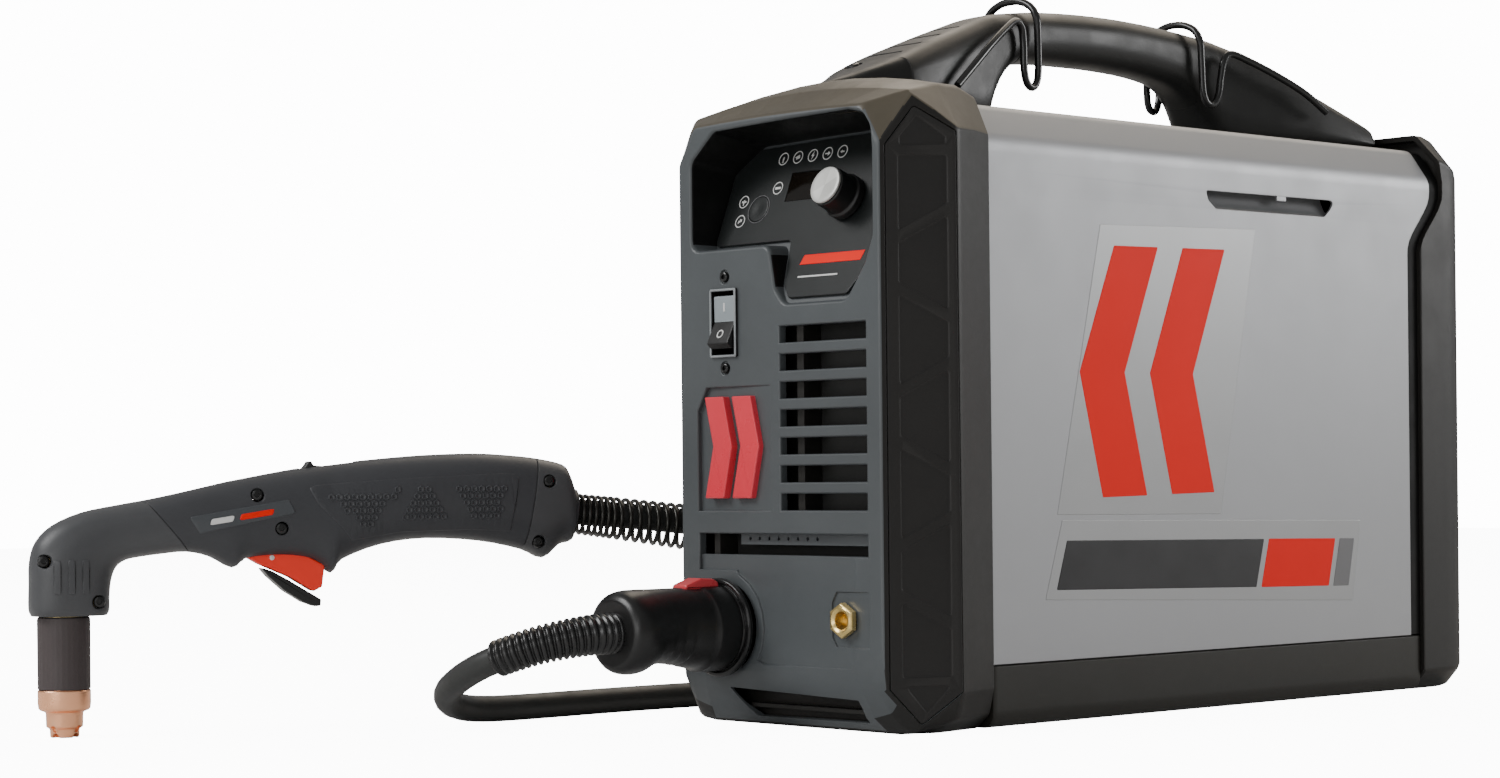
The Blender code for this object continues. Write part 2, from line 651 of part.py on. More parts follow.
def wire_hooks():
    """Two bent wires over the handle, with a hanging loop on each side."""
    front = [(0.0310, -0.128, 0.3090), (0.0298, -0.116, 0.3190), (0.0275, -0.101, 0.3310), (0.0240, -0.086, 0.3410),
             (0.0215, -0.076, 0.3462), (0.0205, -0.0705, 0.3440), (0.0200, -0.0685, 0.3360),
             (0.0198, -0.0680, 0.3230), (0.0197, -0.0660, 0.3165), (0.0197, -0.0625, 0.3142),
             (0.0196, -0.0590, 0.3165), (0.0193, -0.0570, 0.3230), (0.0188, -0.0565, 0.3400),
             (0.0180, -0.0565, 0.3500), (0.0140, -0.0565, 0.3562), (0.0070, -0.0565, 0.3580), (0.0, -0.0565, 0.3584)]
    rear = [(0.0420, 0.150, 0.3150), (0.0385, 0.136, 0.3245), (0.0335, 0.119, 0.3330), (0.0275, 0.103, 0.3402),
            (0.0232, 0.0920, 0.3440), (0.0222, 0.0870, 0.3400), (0.0215, 0.0850, 0.3310), (0.0210, 0.0840, 0.3230),
            (0.0205, 0.0815, 0.3175), (0.0200, 0.0780, 0.3160), (0.0197, 0.0745, 0.3178), (0.0194, 0.0725, 0.3240),
            (0.0190, 0.0720, 0.3400), (0.0182, 0.0720, 0.3495), (0.0142, 0.0720, 0.3560), (0.0070, 0.0720, 0.3580),
            (0.0, 0.0720, 0.3584)]
    for name, side in (("wire_hook_front", front), ("wire_hook_rear", rear)):
        points = side + [(-x, y, z) for x, y, z in reversed(side[:-1])]
        finish(rod(name, points, 0.0021), BLACK)


# ---------------------------------------------------------------- inside the power source
def chassis():
    finish(box("divider_panel", (-0.0015, -0.150, 0.004), (0.0, 0.160, 0.250)), STEEL)
    finish(box("power_board", (0.0080, -0.140, 0.030), (0.0096, 0.130, 0.215)), BOARD_GREEN)
    finish(box("control_board", (-0.052, -0.1605, 0.206), (-0.004, -0.1590, 0.276)), BOARD_GREEN)


def heatsink():
    """Finned extrusion: a base plate with fins that run front to back."""
    base, tip, thick = 0.0170, 0.0600, 0.0016
    low, pitch, count = 0.060, 0.0130, 9
    points = [(0.0110, low)]
    for i in range(count):
        z = low + i * pitch
        points += [(tip, z), (tip, z + thick)]
        if i < count - 1:
            points += [(base, z + thick), (base, z + pitch)]
    points.append((0.0110, low + (count - 1) * pitch + thick))
    return finish(prism("heatsink", points, "Y", -0.070, 0.070), ALUMINIUM)


def transformer():
    """A laminated core with two windows and the winding that passes through them."""
    core = box("transformer_core", (-0.066, -0.040, 0.006), (-0.014, 0.040, 0.080))
    windows = [box("window_cut_a", (-0.07, -0.030, 0.020), (-0.01, -0.010, 0.066)),
               box("window_cut_b", (-0.07, 0.010, 0.020), (-0.01, 0.030, 0.066))]
    finish(cut(core, merged("core_windows", windows)), STEEL)
    outline = [(-0.0695, -0.0285), (-0.0105, -0.0285), (-0.0105, 0.0285), (-0.0695, 0.0285)]
    inside = [(-0.0664, -0.0104), (-0.0136, -0.0104), (-0.0136, 0.0104), (-0.0664, 0.0104)]
    coil = prism("transformer_winding", outline, "Z", 0.0225, 0.0635)
    cut(coil, prism("winding_bore", inside, "Z", 0.0, 0.09))
    return finish(coil, COPPER)


def inductor():
    profile = circle((0.0215, 0.0), 0.0095, 10)
    ring = turned("output_inductor", profile, 20, loop=True)
    return aim(finish(ring, COPPER), (-0.040, 0.078, 0.036), (1, 0, 0))


def capacitors():
    for name, y in (("bulk_capacitor_front", -0.098), ("bulk_capacitor_rear", 0.098)):
        can = turned(name, [(0, 0), (0.0150, 0), (0.0150, 0.044), (0.0140, 0.045), (0, 0.045)], 20)
        aim(finish(can, GRAPHITE), (0.0100, y, 0.110), (1, 0, 0))


def fan():
    """Axial fan at the rear: a square frame with a motor mount, and the bladed rotor that turns in it."""
    x, z = FAN_AT
    frame = prism("fan_frame", rounded(rectangle(x - 0.060, x + 0.060, z - 0.060, z + 0.060), 0.006, 2), "Y",
                  0.1660, 0.1980)
    cut(frame, prism("fan_bore", circle((x, z), 0.0555, 36), "Y", 0.1600, 0.2100))
    arms = [prism("fan_arms", rectangle(x - 0.0575, x + 0.0575, z - 0.0025, z + 0.0025), "Y", 0.1945, 0.1975)]
    arms.append(prism("fan_post", rectangle(x - 0.0025, x + 0.0025, z - 0.0575, z + 0.0575), "Y", 0.1945, 0.1975))
    arms.append(prism("fan_hub", circle((x, z), 0.0180, 24), "Y", 0.1940, 0.1978))
    join(frame, *arms)
    finish(frame, BLACK)
    rotor = prism("fan_rotor", circle((x, z), 0.0195, 24), "Y", 0.1690, 0.1930)
    blades = []
    for i in range(7):
        blade = box("fan_blade_{}".format(i), (0.0150, -0.0012, -0.0130), (0.0535, 0.0012, 0.0130))
        lean = Matrix.Rotation(math.radians(50), 4, "X")
        turn = Matrix.Rotation(2 * math.pi * i / 7, 4, "Y")
        blade.data.transform(Matrix.Translation((x, 0.181, z)) @ turn @ lean)
        blades.append(blade)
    join(rotor, *blades)
    return finish(rotor, BLACK, origin=(x, 0.181, z))


def air_parts():
    """Gas path: inlet fitting, filter regulator, solenoid valve and hose to the torch socket."""
    inlet = turned("air_inlet_fitting", [(0.0035, -0.022), (0.0076, -0.022), (0.0076, 0.0), (0.0098, 0.0005),
                                         (0.0098, 0.0060), (0.0062, 0.0065), (0.0062, 0.0115), (0.0035, 0.0115)],
                   16, loop=True)
    aim(finish(inlet, BRASS), (-0.036, REAR_Y - 0.0115, 0.050), (0, 1, 0))
    regulator = turned("air_regulator", [(0, 0), (0.0160, 0), (0.0190, 0.012), (0.0190, 0.050), (0.0120, 0.062),
                                         (0, 0.062)], 18)
    aim(finish(regulator, GRAPHITE), (-0.040, 0.134, 0.018), (0, 0, 1))
    valve = box("solenoid_valve", (-0.060, -0.120, 0.020), (-0.032, -0.085, 0.062))
    finish(valve, STEEL)
    hose = smooth_path([(-0.040, 0.134, 0.0808), (-0.040, 0.134, 0.0950), (-0.040, 0.118, 0.1020),
                        (-0.040, 0.060, 0.1020), (-0.040, -0.050, 0.1020), (-0.042, -0.093, 0.0950),
                        (-0.046, -0.1025, 0.080), (-0.046, -0.1025, 0.0624)], 0.016)
    finish(rod("air_hose", hose, 0.0040), BLACK)


def torch_socket():
    """Receptacle body behind the front wall."""
    profile = [(0.0120, -0.040), (0.0205, -0.040), (0.0205, 0.0030), (0.0235, 0.0034), (0.0235, 0.0060),
               (0.0222, 0.0068), (0.0196, 0.0068), (0.0196, -0.030), (0.0120, -0.030)]
    socket = turned("torch_socket", profile, 32, loop=True)
    return aim(finish(socket, BLACK), (SOCKET_AT[0], FRONT_Y, SOCKET_AT[1]), (0, -1, 0))


def work_fitting():
    """Brass hexagonal socket for the work lead."""
    stem = turned("work_lead_socket", [(0, -0.018), (0.0062, -0.018), (0.0062, 0.0010), (0, 0.0010)], 16)
    hexagon = turned("work_hexagon", [(0, 0.0005), (0.0082, 0.0005), (0.0082, 0.0060), (0.0074, 0.0068), (0, 0.0068)], 6)
    bore = turned("work_bore", [(0, -0.012), (0.0040, -0.012), (0.0040, 0.010), (0, 0.010)], 16)
    cut(join(stem, hexagon), bore)
    for piece in (stem, hexagon, bore):
        aim(piece, (WORK_AT[0], FRONT_Y - 0.0003, WORK_AT[1]), (0, -1, 0))
    return finish(stem, BRASS)


def mains_gland():
    profile = [(0.0052, -0.012), (0.0100, -0.012), (0.0100, 0.0), (0.0150, 0.0005), (0.0150, 0.0050), (0.0110, 0.0060),
               (0.0100, 0.0112), (0.0052, 0.0112)]
    gland = turned("mains_gland", profile, 20, loop=True)
    return aim(finish(gland, BLACK), (0.036, REAR_Y - 0.0115, 0.050), (0, 1, 0))


# ---------------------------------------------------------------- torch
TORCH_STATIONS = [
    # upper outline point and lower outline point, each as distance along the handle and height, and half width
    ((-0.0150, 0.0575), (0.0200, 0.0575), 0.0145), ((-0.0162, 0.0610), (0.0212, 0.0600), 0.0155),
    ((-0.0160, 0.0720), (0.0214, 0.0670), 0.0158), ((-0.0157, 0.0830), (0.0222, 0.0740), 0.0158),
    ((-0.0128, 0.0925), (0.0245, 0.0800), 0.0154), ((-0.0050, 0.1003), (0.0290, 0.0832), 0.0148),
    ((0.0085, 0.1062), (0.0360, 0.0846), 0.0142), ((0.0250, 0.1095), (0.0460, 0.0858), 0.0138),
    ((0.0420, 0.1124), (0.0575, 0.0866), 0.0138), ((0.0600, 0.1162), (0.0685, 0.0842), 0.0142),
    ((0.0760, 0.1198), (0.0795, 0.0786), 0.0148), ((0.0850, 0.1215), (0.0862, 0.0826), 0.0150),
    ((0.1020, 0.1246), (0.1030, 0.0838), 0.0152), ((0.1160, 0.1268), (0.1180, 0.0815), 0.0154),
    ((0.1265, 0.1280), (0.1272, 0.0752), 0.0155), ((0.1350, 0.1289), (0.1325, 0.0815), 0.0156),
    ((0.1500, 0.1304), (0.1520, 0.0886), 0.0158), ((0.1740, 0.1322), (0.1747, 0.0912), 0.0160),
    ((0.2000, 0.1328), (0.2020, 0.0894), 0.0158), ((0.2190, 0.1316), (0.2228, 0.0850), 0.0153),
    ((0.2320, 0.1300), (0.2335, 0.0806), 0.0148), ((0.2440, 0.1272), (0.2415, 0.0868), 0.0140),
    ((0.2490, 0.1180), (0.2482, 0.0890), 0.0125),
]


def torch_ring(station, shrink, count=16):
    """One cross-section of the torch body: a soft-cornered oval between its two outline points."""
    (s1, z1), (s2, z2), half = station
    top, low = Vector((s1, 0, z1)), Vector((s2, 0, z2))
    centre = (top + low) / 2
    up = (top - low) / 2
    up = up.normalized() * (up.length - shrink)
    ring = []
    for i in range(count):
        angle = 2 * math.pi * (i + 0.5) / count
        c, s = math.cos(angle), math.sin(angle)
        c = math.copysign(abs(c) ** 0.8, c)
        s = math.copysign(abs(s) ** 0.8, s)
        ring.append(tuple(centre + up * s + Vector((0, half - shrink, 0)) * c))
    return ring


def torch_empty():
    empty = bpy.data.objects.new("torch_frame", None)
    bpy.context.scene.collection.objects.link(empty)
    empty.location = TORCH_TIP
    empty.rotation_euler = (0, 0, TORCH_HEADING)
    return empty


def torch_point(along, height):
    """A place given along the torch handle, in the world's axes."""
    return TORCH_TIP + Vector((along * math.cos(TORCH_HEADING), along * math.sin(TORCH_HEADING), height))


def torch_shell(name, side, frame):
    """One half of the moulded torch body, hollow and open at the parting plane."""
    wall = 0.0022
    shell = loft(name, [torch_ring(row, 0.0) for row in TORCH_STATIONS], smooth=True)
    hollow_rings = [torch_ring(row, wall) for row in TORCH_STATIONS[1:-1]]
    mouth = [(s, y, z - 0.006) for s, y, z in hollow_rings[0]]
    tail = [(s + 0.016, y * 0.70, 0.1035 + (z - 0.1035) * 0.62) for s, y, z in hollow_rings[-1]]
    hollow = loft(name + "_hollow", [mouth] + hollow_rings + [tail])
    bay = box(name + "_bay", (0.0845, -0.0062, 0.060), (0.1255, 0.0062, 0.104))
    slot = box(name + "_lock_slot", (0.1120, -0.0046, 0.1215), (0.1400, 0.0046, 0.140))
    edge = 0.00018
    low, high = ((-0.05, -edge) if side < 0 else (edge, 0.05))
    keep = box(name + "_half", (-0.05, low, 0.0), (0.30, high, 0.20))
    for piece in (hollow, bay, slot, keep):
        piece.parent = frame
    cut(shell, hollow, bay, slot)
    boolean(shell, "INTERSECT", [keep])
    return finish(shell, GRAPHITE, frame)


def torch_consumables(frame):
    """The stack under the torch head, turned about the tip's vertical axis."""
    cap = turned("retaining_cap", [(0.0106, 0.0228), (0.0124, 0.0228), (0.0124, 0.0560), (0.0118, 0.0570),
                                   (0.0106, 0.0570)], 28, loop=True)
    finish(cap, ((0.06, 0.05, 0.05), 0.55), frame)
    shield = turned("torch_shield", [(0.0030, 0.0), (0.0068, 0.0), (0.0071, 0.0040), (0.0086, 0.0052),
                                     (0.0088, 0.0118), (0.0116, 0.0132), (0.0124, 0.0165), (0.0124, 0.0224),
                                     (0.0106, 0.0224), (0.0104, 0.0150), (0.0056, 0.0065), (0.0030, 0.0040)],
                    28, loop=True)
    notches = [box("notch_along", (-0.010, -0.0015, -0.002), (0.010, 0.0015, 0.0024)),
               box("notch_across", (-0.0015, -0.010, -0.002), (0.0015, 0.010, 0.0024))]
    for notch in notches:
        notch.parent = frame
    finish(cut(shield, *notches), COPPER, frame)
    nozzle = turned("torch_nozzle", [(0.0010, 0.0072), (0.0044, 0.0074), (0.0094, 0.0160), (0.0096, 0.0240),
                                     (0.0046, 0.0240), (0.0046, 0.0125), (0.0010, 0.0095)], 20, loop=True)
    finish(nozzle, COPPER, frame)
    electrode = turned("torch_electrode", [(0, 0.0130), (0.0030, 0.0130), (0.0036, 0.0150), (0.0036, 0.0400),
                                           (0, 0.0400)], 16)
    finish(electrode, COPPER, frame)
    ring = turned("swirl_ring", [(0.0042, 0.0245), (0.0094, 0.0245), (0.0094, 0.0300), (0.0042, 0.0300)], 20,
                  loop=True)
    finish(ring, BRASS, frame)
    core = turned("torch_core", [(0.0042, 0.0304), (0.0094, 0.0304), (0.0094, 0.0920), (0.0042, 0.0920)], 20,
                  loop=True)
    finish(core, BRASS, frame)
    tube = smooth_path([(0.0112, 0.0, 0.0885), (0.0200, 0.0, 0.0925), (0.0450, 0.0, 0.0985),
                        (0.0800, 0.0, 0.1060), (0.1200, 0.0, 0.1110), (0.1600, 0.0, 0.1120),
                        (0.2100, 0.0, 0.1090), (0.2400, 0.0, 0.1045)], 0.016)
    return finish(rod("torch_gas_tube", tube, 0.0030), BRASS, frame)


def torch_trigger(frame):
    """Red trigger, black safety lever under it, and the lock slider on top of the handle."""
    s, z = TRIGGER_PIVOT
    outline = [(0.0862, 0.0838), (0.0870, 0.0895), (0.0905, 0.0895), (0.0990, 0.0862), (0.1130, 0.0850),
               (0.1242, 0.0795), (0.1230, 0.0690), (0.1185, 0.0665), (0.1068, 0.0738), (0.0925, 0.0805)]
    trigger = prism("torch_trigger", rounded(outline, 0.0012, 2), "Y", -0.0056, 0.0056)
    finish(trigger, RED, frame, (s, 0, z))
    s, z = SAFETY_PIVOT
    blade = [(0.0928, 0.0783), (0.0965, 0.0735), (0.1030, 0.0668), (0.1130, 0.0608), (0.1208, 0.0586),
             (0.1216, 0.0606), (0.1165, 0.0655), (0.1060, 0.0722), (0.0985, 0.0760)]
    lever = prism("trigger_safety_lever", rounded(blade, 0.0010, 2), "Y", -0.0062, 0.0062)
    finish(lever, BLACK, frame, (s, 0, z))
    base = box("lock_slider", (0.1135, -0.0042, 0.1222), (0.1315, 0.0042, 0.1262))
    ridge = box("lock_ridge", (0.1150, -0.0042, 0.1255), (0.1215, 0.0042, 0.1296))
    ridge.parent = frame
    finish(join(base, ridge), BLACK, frame, (0.1225, 0, 0.1240))
    switch = box("trigger_micro_switch", (0.1010, -0.0040, 0.0925), (0.1180, 0.0040, 0.1010))
    return finish(switch, BLACK, frame)


def spring_relief(frame):
    """Outer shape of the spring guard on the lead behind the torch handle."""
    points = [(SPRING_START_S, 0, 0.1035), (0.268, 0, 0.1018), (0.295, 0, 0.0990), (SPRING_END_S, 0, 0.0960)]
    return finish(rod("torch_spring_guard", points, 0.0098), BLACK, frame)


# ---------------------------------------------------------------- torch lead
def torch_plug():
    """Connector on the lead: a waisted grip with a bulb at its end, plugged into the socket."""
    profile = [(0, -0.0060), (0.0190, -0.0060), (0.0190, 0.0070), (0.0212, 0.0080), (0.0212, 0.0200), (0.0185, 0.0280),
               (0.0168, 0.0380), (0.0172, 0.0460), (0.0190, 0.0540), (0.0198, 0.0600), (0.0190, 0.0665),
               (0.0160, 0.0700), (0.0, 0.0707)]
    plug = turned("torch_plug", profile, 28)
    aim(plug, (SOCKET_AT[0], FRONT_Y - 0.0001, SOCKET_AT[1]), (0, -1, 0))
    x, z = SOCKET_AT
    crown = prism("plug_crown", rounded([(FRONT_Y - 0.0660, z + 0.0040), (FRONT_Y - 0.0074, z + 0.0040),
                                         (FRONT_Y - 0.0074, z + 0.0206), (FRONT_Y - 0.0660, z + 0.0200)], 0.003, 2),
                  "X", x - 0.0085, x + 0.0085)
    pocket = box("plug_button_pocket", (x - 0.0058, FRONT_Y - 0.0302, z + 0.0150),
                 (x + 0.0058, FRONT_Y - 0.0082, z + 0.0300))
    cut(join(plug, crown), pocket)
    return finish(plug, BLACK)


def release_button():
    """Red catch on top of the plug; it travels down into the plug's pocket."""
    x, z = SOCKET_AT
    outline = [(FRONT_Y - 0.0297, z + 0.0185), (FRONT_Y - 0.0086, z + 0.0185), (FRONT_Y - 0.0086, z + 0.0222),
               (FRONT_Y - 0.0120, z + 0.0245), (FRONT_Y - 0.0200, z + 0.0250), (FRONT_Y - 0.0297, z + 0.0212)]
    button = prism("plug_release_button", rounded(outline, 0.0010, 1), "X", x - 0.0054, x + 0.0054)
    return finish(button, RED, origin=(x, FRONT_Y - 0.0190, z + 0.0185))


def lead():
    """The 6.1 m torch lead: both loose runs as tubes, and the coil as one turned ring."""
    fine = smooth_path(FRONT_ROUTE, 0.004)
    relief = [fine[0] + Vector((0, -0.0003, 0)), fine[0] + Vector((0, -0.0050, 0))] + fine[3:RELIEF_STEPS + 1:3]
    finish(rod("plug_strain_relief", relief, 0.0095), BLACK)
    ahead = (relief[-1] - relief[-2]).normalized()
    run = [relief[-1] + ahead * 0.0003, relief[-1] + ahead * 0.005] + fine[RELIEF_STEPS + 7::7]
    radius = LEAD_DIAMETER / 2
    finish(rod("lead_front_run", run, radius), RUBBER)
    back = smooth_path(REAR_ROUTE, 0.024) + [torch_point(SPRING_END_S + 0.0050, 0.0954),
                                             torch_point(SPRING_END_S + 0.0003, 0.0960)]
    finish(rod("lead_rear_run", back, radius), RUBBER)
    inner = COIL_COLUMNS[0] - radius - 0.0003
    outer = COIL_COLUMNS[-1] + radius + 0.0003
    top = COIL_BASE + LEAD_PITCH * COIL_LAYERS
    soft = 0.004
    profile = [(inner, COIL_BASE + soft), (inner + soft, COIL_BASE), (outer - soft, COIL_BASE),
               (outer, COIL_BASE + soft), (outer, top - soft), (outer - soft, top), (inner + soft, top),
               (inner, top - soft)]
    ring = turned("lead_coil", profile, 40, loop=True)
    ring.location = (*COIL_CENTRE, 0.0)
    finish(ring, RUBBER)
    tie(inner, outer, top)


def tie(inner, outer, top):
    """A strap round the coil on the side away from the housing."""
    half = 0.010
    slack = 0.0006
    thick = 0.0012
    near = math.sqrt(inner ** 2 - half ** 2) * math.cos(math.pi / 40) - slack
    window = rectangle(-outer - slack, -near, COIL_BASE - slack, top + slack)
    strap = rectangle(-outer - slack - thick, -near + thick, COIL_BASE - slack - thick, top + slack + thick)
    band = prism("coil_tie", strap, "Y", -half, half)
    bore = prism("tie_window", window, "Y", -half - 0.01, half + 0.01)
    band.location = bore.location = (*COIL_CENTRE, 0.0)
    return finish(cut(band, bore), BLACK)


def main():
    clear_scene()
    front_cap()
    control_panel()
    display_window()
    adjustment_knob()
    knob_face()
    encoder()
    mode_button()
    rocker_bezel()
    power_rocker()
    switch_screws()
    badge_plate()
    base_pan()
    side_cover()
    rear_seal()
    rear_cap()
    handle()
    wire_hooks()
    chassis()
    heatsink()
    transformer()
    inductor()
    capacitors()
    fan()
    air_parts()
    torch_socket()
    work_fitting()
    mains_gland()
    frame = torch_empty()
    torch_shell("torch_shell_near", -1, frame)
    torch_shell("torch_shell_far", 1, frame)
    torch_consumables(frame)
    torch_trigger(frame)
    spring_relief(frame)
    torch_plug()
    release_button()
    lead()


main()
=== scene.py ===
"""The looks of the plasma cutting unit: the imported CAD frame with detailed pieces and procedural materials.

The origin is the centre of the flat underside, +Z is up and the front faces -Y. Shapes are given in
millimetres and become metres when their mesh is made; the cord's route and the frame are in metres.
"""

import math

import bmesh
import bpy
from mathutils import Matrix, Vector


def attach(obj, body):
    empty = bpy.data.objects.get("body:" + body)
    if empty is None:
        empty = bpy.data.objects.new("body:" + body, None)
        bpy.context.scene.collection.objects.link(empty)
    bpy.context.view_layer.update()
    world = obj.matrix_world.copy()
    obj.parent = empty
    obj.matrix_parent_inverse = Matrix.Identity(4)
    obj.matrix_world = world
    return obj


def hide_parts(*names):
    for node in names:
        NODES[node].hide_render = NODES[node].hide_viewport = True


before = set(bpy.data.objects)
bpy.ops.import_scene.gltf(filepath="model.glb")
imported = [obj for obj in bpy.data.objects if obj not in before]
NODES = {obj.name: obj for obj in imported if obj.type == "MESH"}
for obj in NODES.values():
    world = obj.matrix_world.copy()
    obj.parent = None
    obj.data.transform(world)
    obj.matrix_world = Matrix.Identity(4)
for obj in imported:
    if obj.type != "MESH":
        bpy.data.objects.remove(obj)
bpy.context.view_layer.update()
ROOT = "power_source"
MM = 0.001

# Power source, in millimetres
FRONT = -221.0
COVER_FRONT = -154.5
COVER_REAR = 175.0
COVER_REAR_HIGH = 195.5
COVER_HALF = 76.0
BEND = 277.0
ROOF = 295.0
ROOF_HALF = 66.0
RAIL = 30.0
PANEL_LOW = (-217.5, 203.0)
PANEL_LEAN = math.radians(21.0)
PANEL_NORMAL = Vector((0.0, -math.cos(PANEL_LEAN), math.sin(PANEL_LEAN)))
CEILING_DROP = 5.0
KNOB_AT = (29.5, 249.5)
BUTTON_AT = (-32.8, 249.0)
ROCKER_AT = (-36.5, 194.0)
SOCKET_AT = (-38.0, 47.5)
WORK_AT = (45.5, 53.0)

# Flared side of the front cap: from the front edge's x and y, along FLARE, facing FLARE_NORMAL
FLARE_AT = Vector((70.0, -219.0, 0.0))
FLARE = Vector((15.2, 31.0, 0.0)).normalized()
FLARE_NORMAL = Vector((FLARE.y, -FLARE.x, 0.0))

# Torch frame: distance along the handle, aside, and height, from the tip of the shield
TORCH_TIP = Vector((-226.9, -472.1, 0.0))
TORCH_HEADING = math.radians(66.86)

# Torch lead, in metres, on the route of its CAD solids
LEAD_DIAMETER = 0.013
LEAD_PITCH = 0.0132
COIL_CENTRE = (-0.181, 0.060)
COIL_COLUMNS = (0.0588, 0.0720, 0.0852)
COIL_BASE = 0.0022
COIL_TURNS = 11.654
FRONT_ROUTE = [
    (-0.0380, -0.292, 0.0475), (-0.0398, -0.304, 0.0470), (-0.0450, -0.316, 0.0452),
    (-0.0525, -0.326, 0.0425), (-0.0625, -0.334, 0.0385), (-0.0745, -0.3385, 0.0340),
    (-0.0870, -0.3395, 0.0290), (-0.0995, -0.3375, 0.0240), (-0.1115, -0.3330, 0.0190),
    (-0.1215, -0.3255, 0.0143), (-0.1290, -0.3155, 0.0107), (-0.1338, -0.3040, 0.0084),
    (-0.1362, -0.2900, 0.0072), (-0.1372, -0.2740, 0.0068), (-0.1378, -0.2500, 0.0067),
    (-0.1384, -0.2200, 0.0067), (-0.1380, -0.1900, 0.0067), (-0.1360, -0.1600, 0.0067),
    (-0.1315, -0.1300, 0.0068), (-0.1245, -0.1000, 0.0069), (-0.1165, -0.0720, 0.0072),
    (-0.1080, -0.0440, 0.0077), (-0.1010, -0.0180, 0.0083), (-0.0970, 0.0080, 0.0087),
]
REAR_ROUTE = [
    (-0.1935, -0.0422, 0.0500), (-0.1740, -0.0563, 0.0505), (-0.1570, -0.0685, 0.0525),
    (-0.1400, -0.0805, 0.0570), (-0.1250, -0.0925, 0.0635), (-0.1120, -0.1060, 0.0710),
    (-0.1020, -0.1210, 0.0785), (-0.0960, -0.1370, 0.0855), (-0.0950, -0.1530, 0.0910),
    (-0.0975, -0.1660, 0.0943),
]


# ---------------------------------------------------------------- materials
def srgb(text):
    """A colour from its six-digit code, in linear values."""
    parts = [int(text[i:i + 2], 16) / 255 for i in (0, 2, 4)]
    return tuple(c / 12.92 if c <= 0.04045 else ((c + 0.055) / 1.055) ** 2.4 for c in parts)


def shaded(colour, factor):
    return tuple(min(1.0, c * factor) for c in colour)


def object_coords(nodes, links, stretch=None):
    coords = nodes.new("ShaderNodeTexCoord").outputs["Object"]
    if stretch is None:
        return coords
    mapping = nodes.new("ShaderNodeMapping")
    mapping.inputs["Scale"].default_value = stretch
    links.new(coords, mapping.inputs["Vector"])
    return mapping.outputs["Vector"]


def noise(nodes, links, scale, detail, rough, coords):
    tex = nodes.new("ShaderNodeTexNoise")
    tex.inputs["Scale"].default_value = scale
    tex.inputs["Detail"].default_value = detail
    tex.inputs["Roughness"].default_value = rough
    links.new(coords, tex.inputs["Vector"])
    return tex.outputs["Fac"]


def remap(nodes, links, source, low, high, out_low, out_high):
    node = nodes.new("ShaderNodeMapRange")
    node.inputs["From Min"].default_value = low
    node.inputs["From Max"].default_value = high
    node.inputs["To Min"].default_value = out_low
    node.inputs["To Max"].default_value = out_high
    links.new(source, node.inputs["Value"])
    return node.outputs["Result"]


def blend_colour(nodes, links, factor, a, b):
    """Mixes two colours, each a value or another node's output."""
    node = nodes.new("ShaderNodeMix")
    node.data_type = "RGBA"
    links.new(factor, node.inputs["Factor"])
    for socket, value in ((6, a), (7, b)):
        if isinstance(value, bpy.types.NodeSocket):
            links.new(value, node.inputs[socket])
        else:
            node.inputs[socket].default_value = (*value, 1.0)
    return node.outputs[2]


def surface(name, colour, rough, metallic=0.0, spread=0.08, grain=1300.0, bump=0.08, gloss_spread=0.07,
            wear=0.3, worn=None, coat=0.0, spec=0.35, stretch=None, edge=0.0005, scratches=0.0):
    """Moulded, painted or machined finish.

    The colour is mottled, a fine grain stands in the bump, the gloss is smudged, and the edges are rubbed
    paler. An edge above zero is the radius, in metres, by which sharp edges are softened.
    """
    mat = bpy.data.materials.new(name)
    mat.use_nodes = True
    nodes, links = mat.node_tree.nodes, mat.node_tree.links
    shader = nodes["Principled BSDF"]
    coords = object_coords(nodes, links)
    broad = noise(nodes, links, 16.0, 4.0, 0.55, coords)
    mottle = remap(nodes, links, broad, 0.3, 0.7, 0.0, 1.0)
    base = blend_colour(nodes, links, mottle, shaded(colour, 1 - spread), shaded(colour, 1 + spread))
    if wear:
        geometry = nodes.new("ShaderNodeNewGeometry")
        rubbed = remap(nodes, links, geometry.outputs["Pointiness"], 0.53, 0.64, 0.0, wear)
        base = blend_colour(nodes, links, rubbed, base, worn or shaded(colour, 2.0))
    smudge = noise(nodes, links, 42.0, 5.0, 0.65, coords)
    gloss = remap(nodes, links, smudge, 0.3, 0.7, max(0.03, rough - gloss_spread),
                  min(1.0, rough + gloss_spread))
    if scratches:
        streaks = noise(nodes, links, 90.0, 3.0, 0.7, object_coords(nodes, links, (1.0, 0.15, 1.0)))
        marks = remap(nodes, links, streaks, 0.66, 0.70, 0.0, scratches)
        base = blend_colour(nodes, links, marks, base, shaded(colour, 1.5))
    links.new(base, shader.inputs["Base Color"])
    links.new(gloss, shader.inputs["Roughness"])
    shader.inputs["Metallic"].default_value = metallic
    shader.inputs["Specular IOR Level"].default_value = spec
    if coat:
        shader.inputs["Coat Weight"].default_value = coat
        shader.inputs["Coat Roughness"].default_value = 0.15
    relief = nodes.new("ShaderNodeBump")
    relief.inputs["Strength"].default_value = bump
    relief.inputs["Distance"].default_value = 0.0003
    fine = noise(nodes, links, grain, 2.0, 0.6, object_coords(nodes, links, stretch))
    links.new(fine, relief.inputs["Height"])
    if edge:
        soft = nodes.new("ShaderNodeBevel")
        soft.samples = 4
        soft.inputs["Radius"].default_value = edge
        links.new(soft.outputs["Normal"], relief.inputs["Normal"])
    links.new(relief.outputs["Normal"], shader.inputs["Normal"])
    return mat


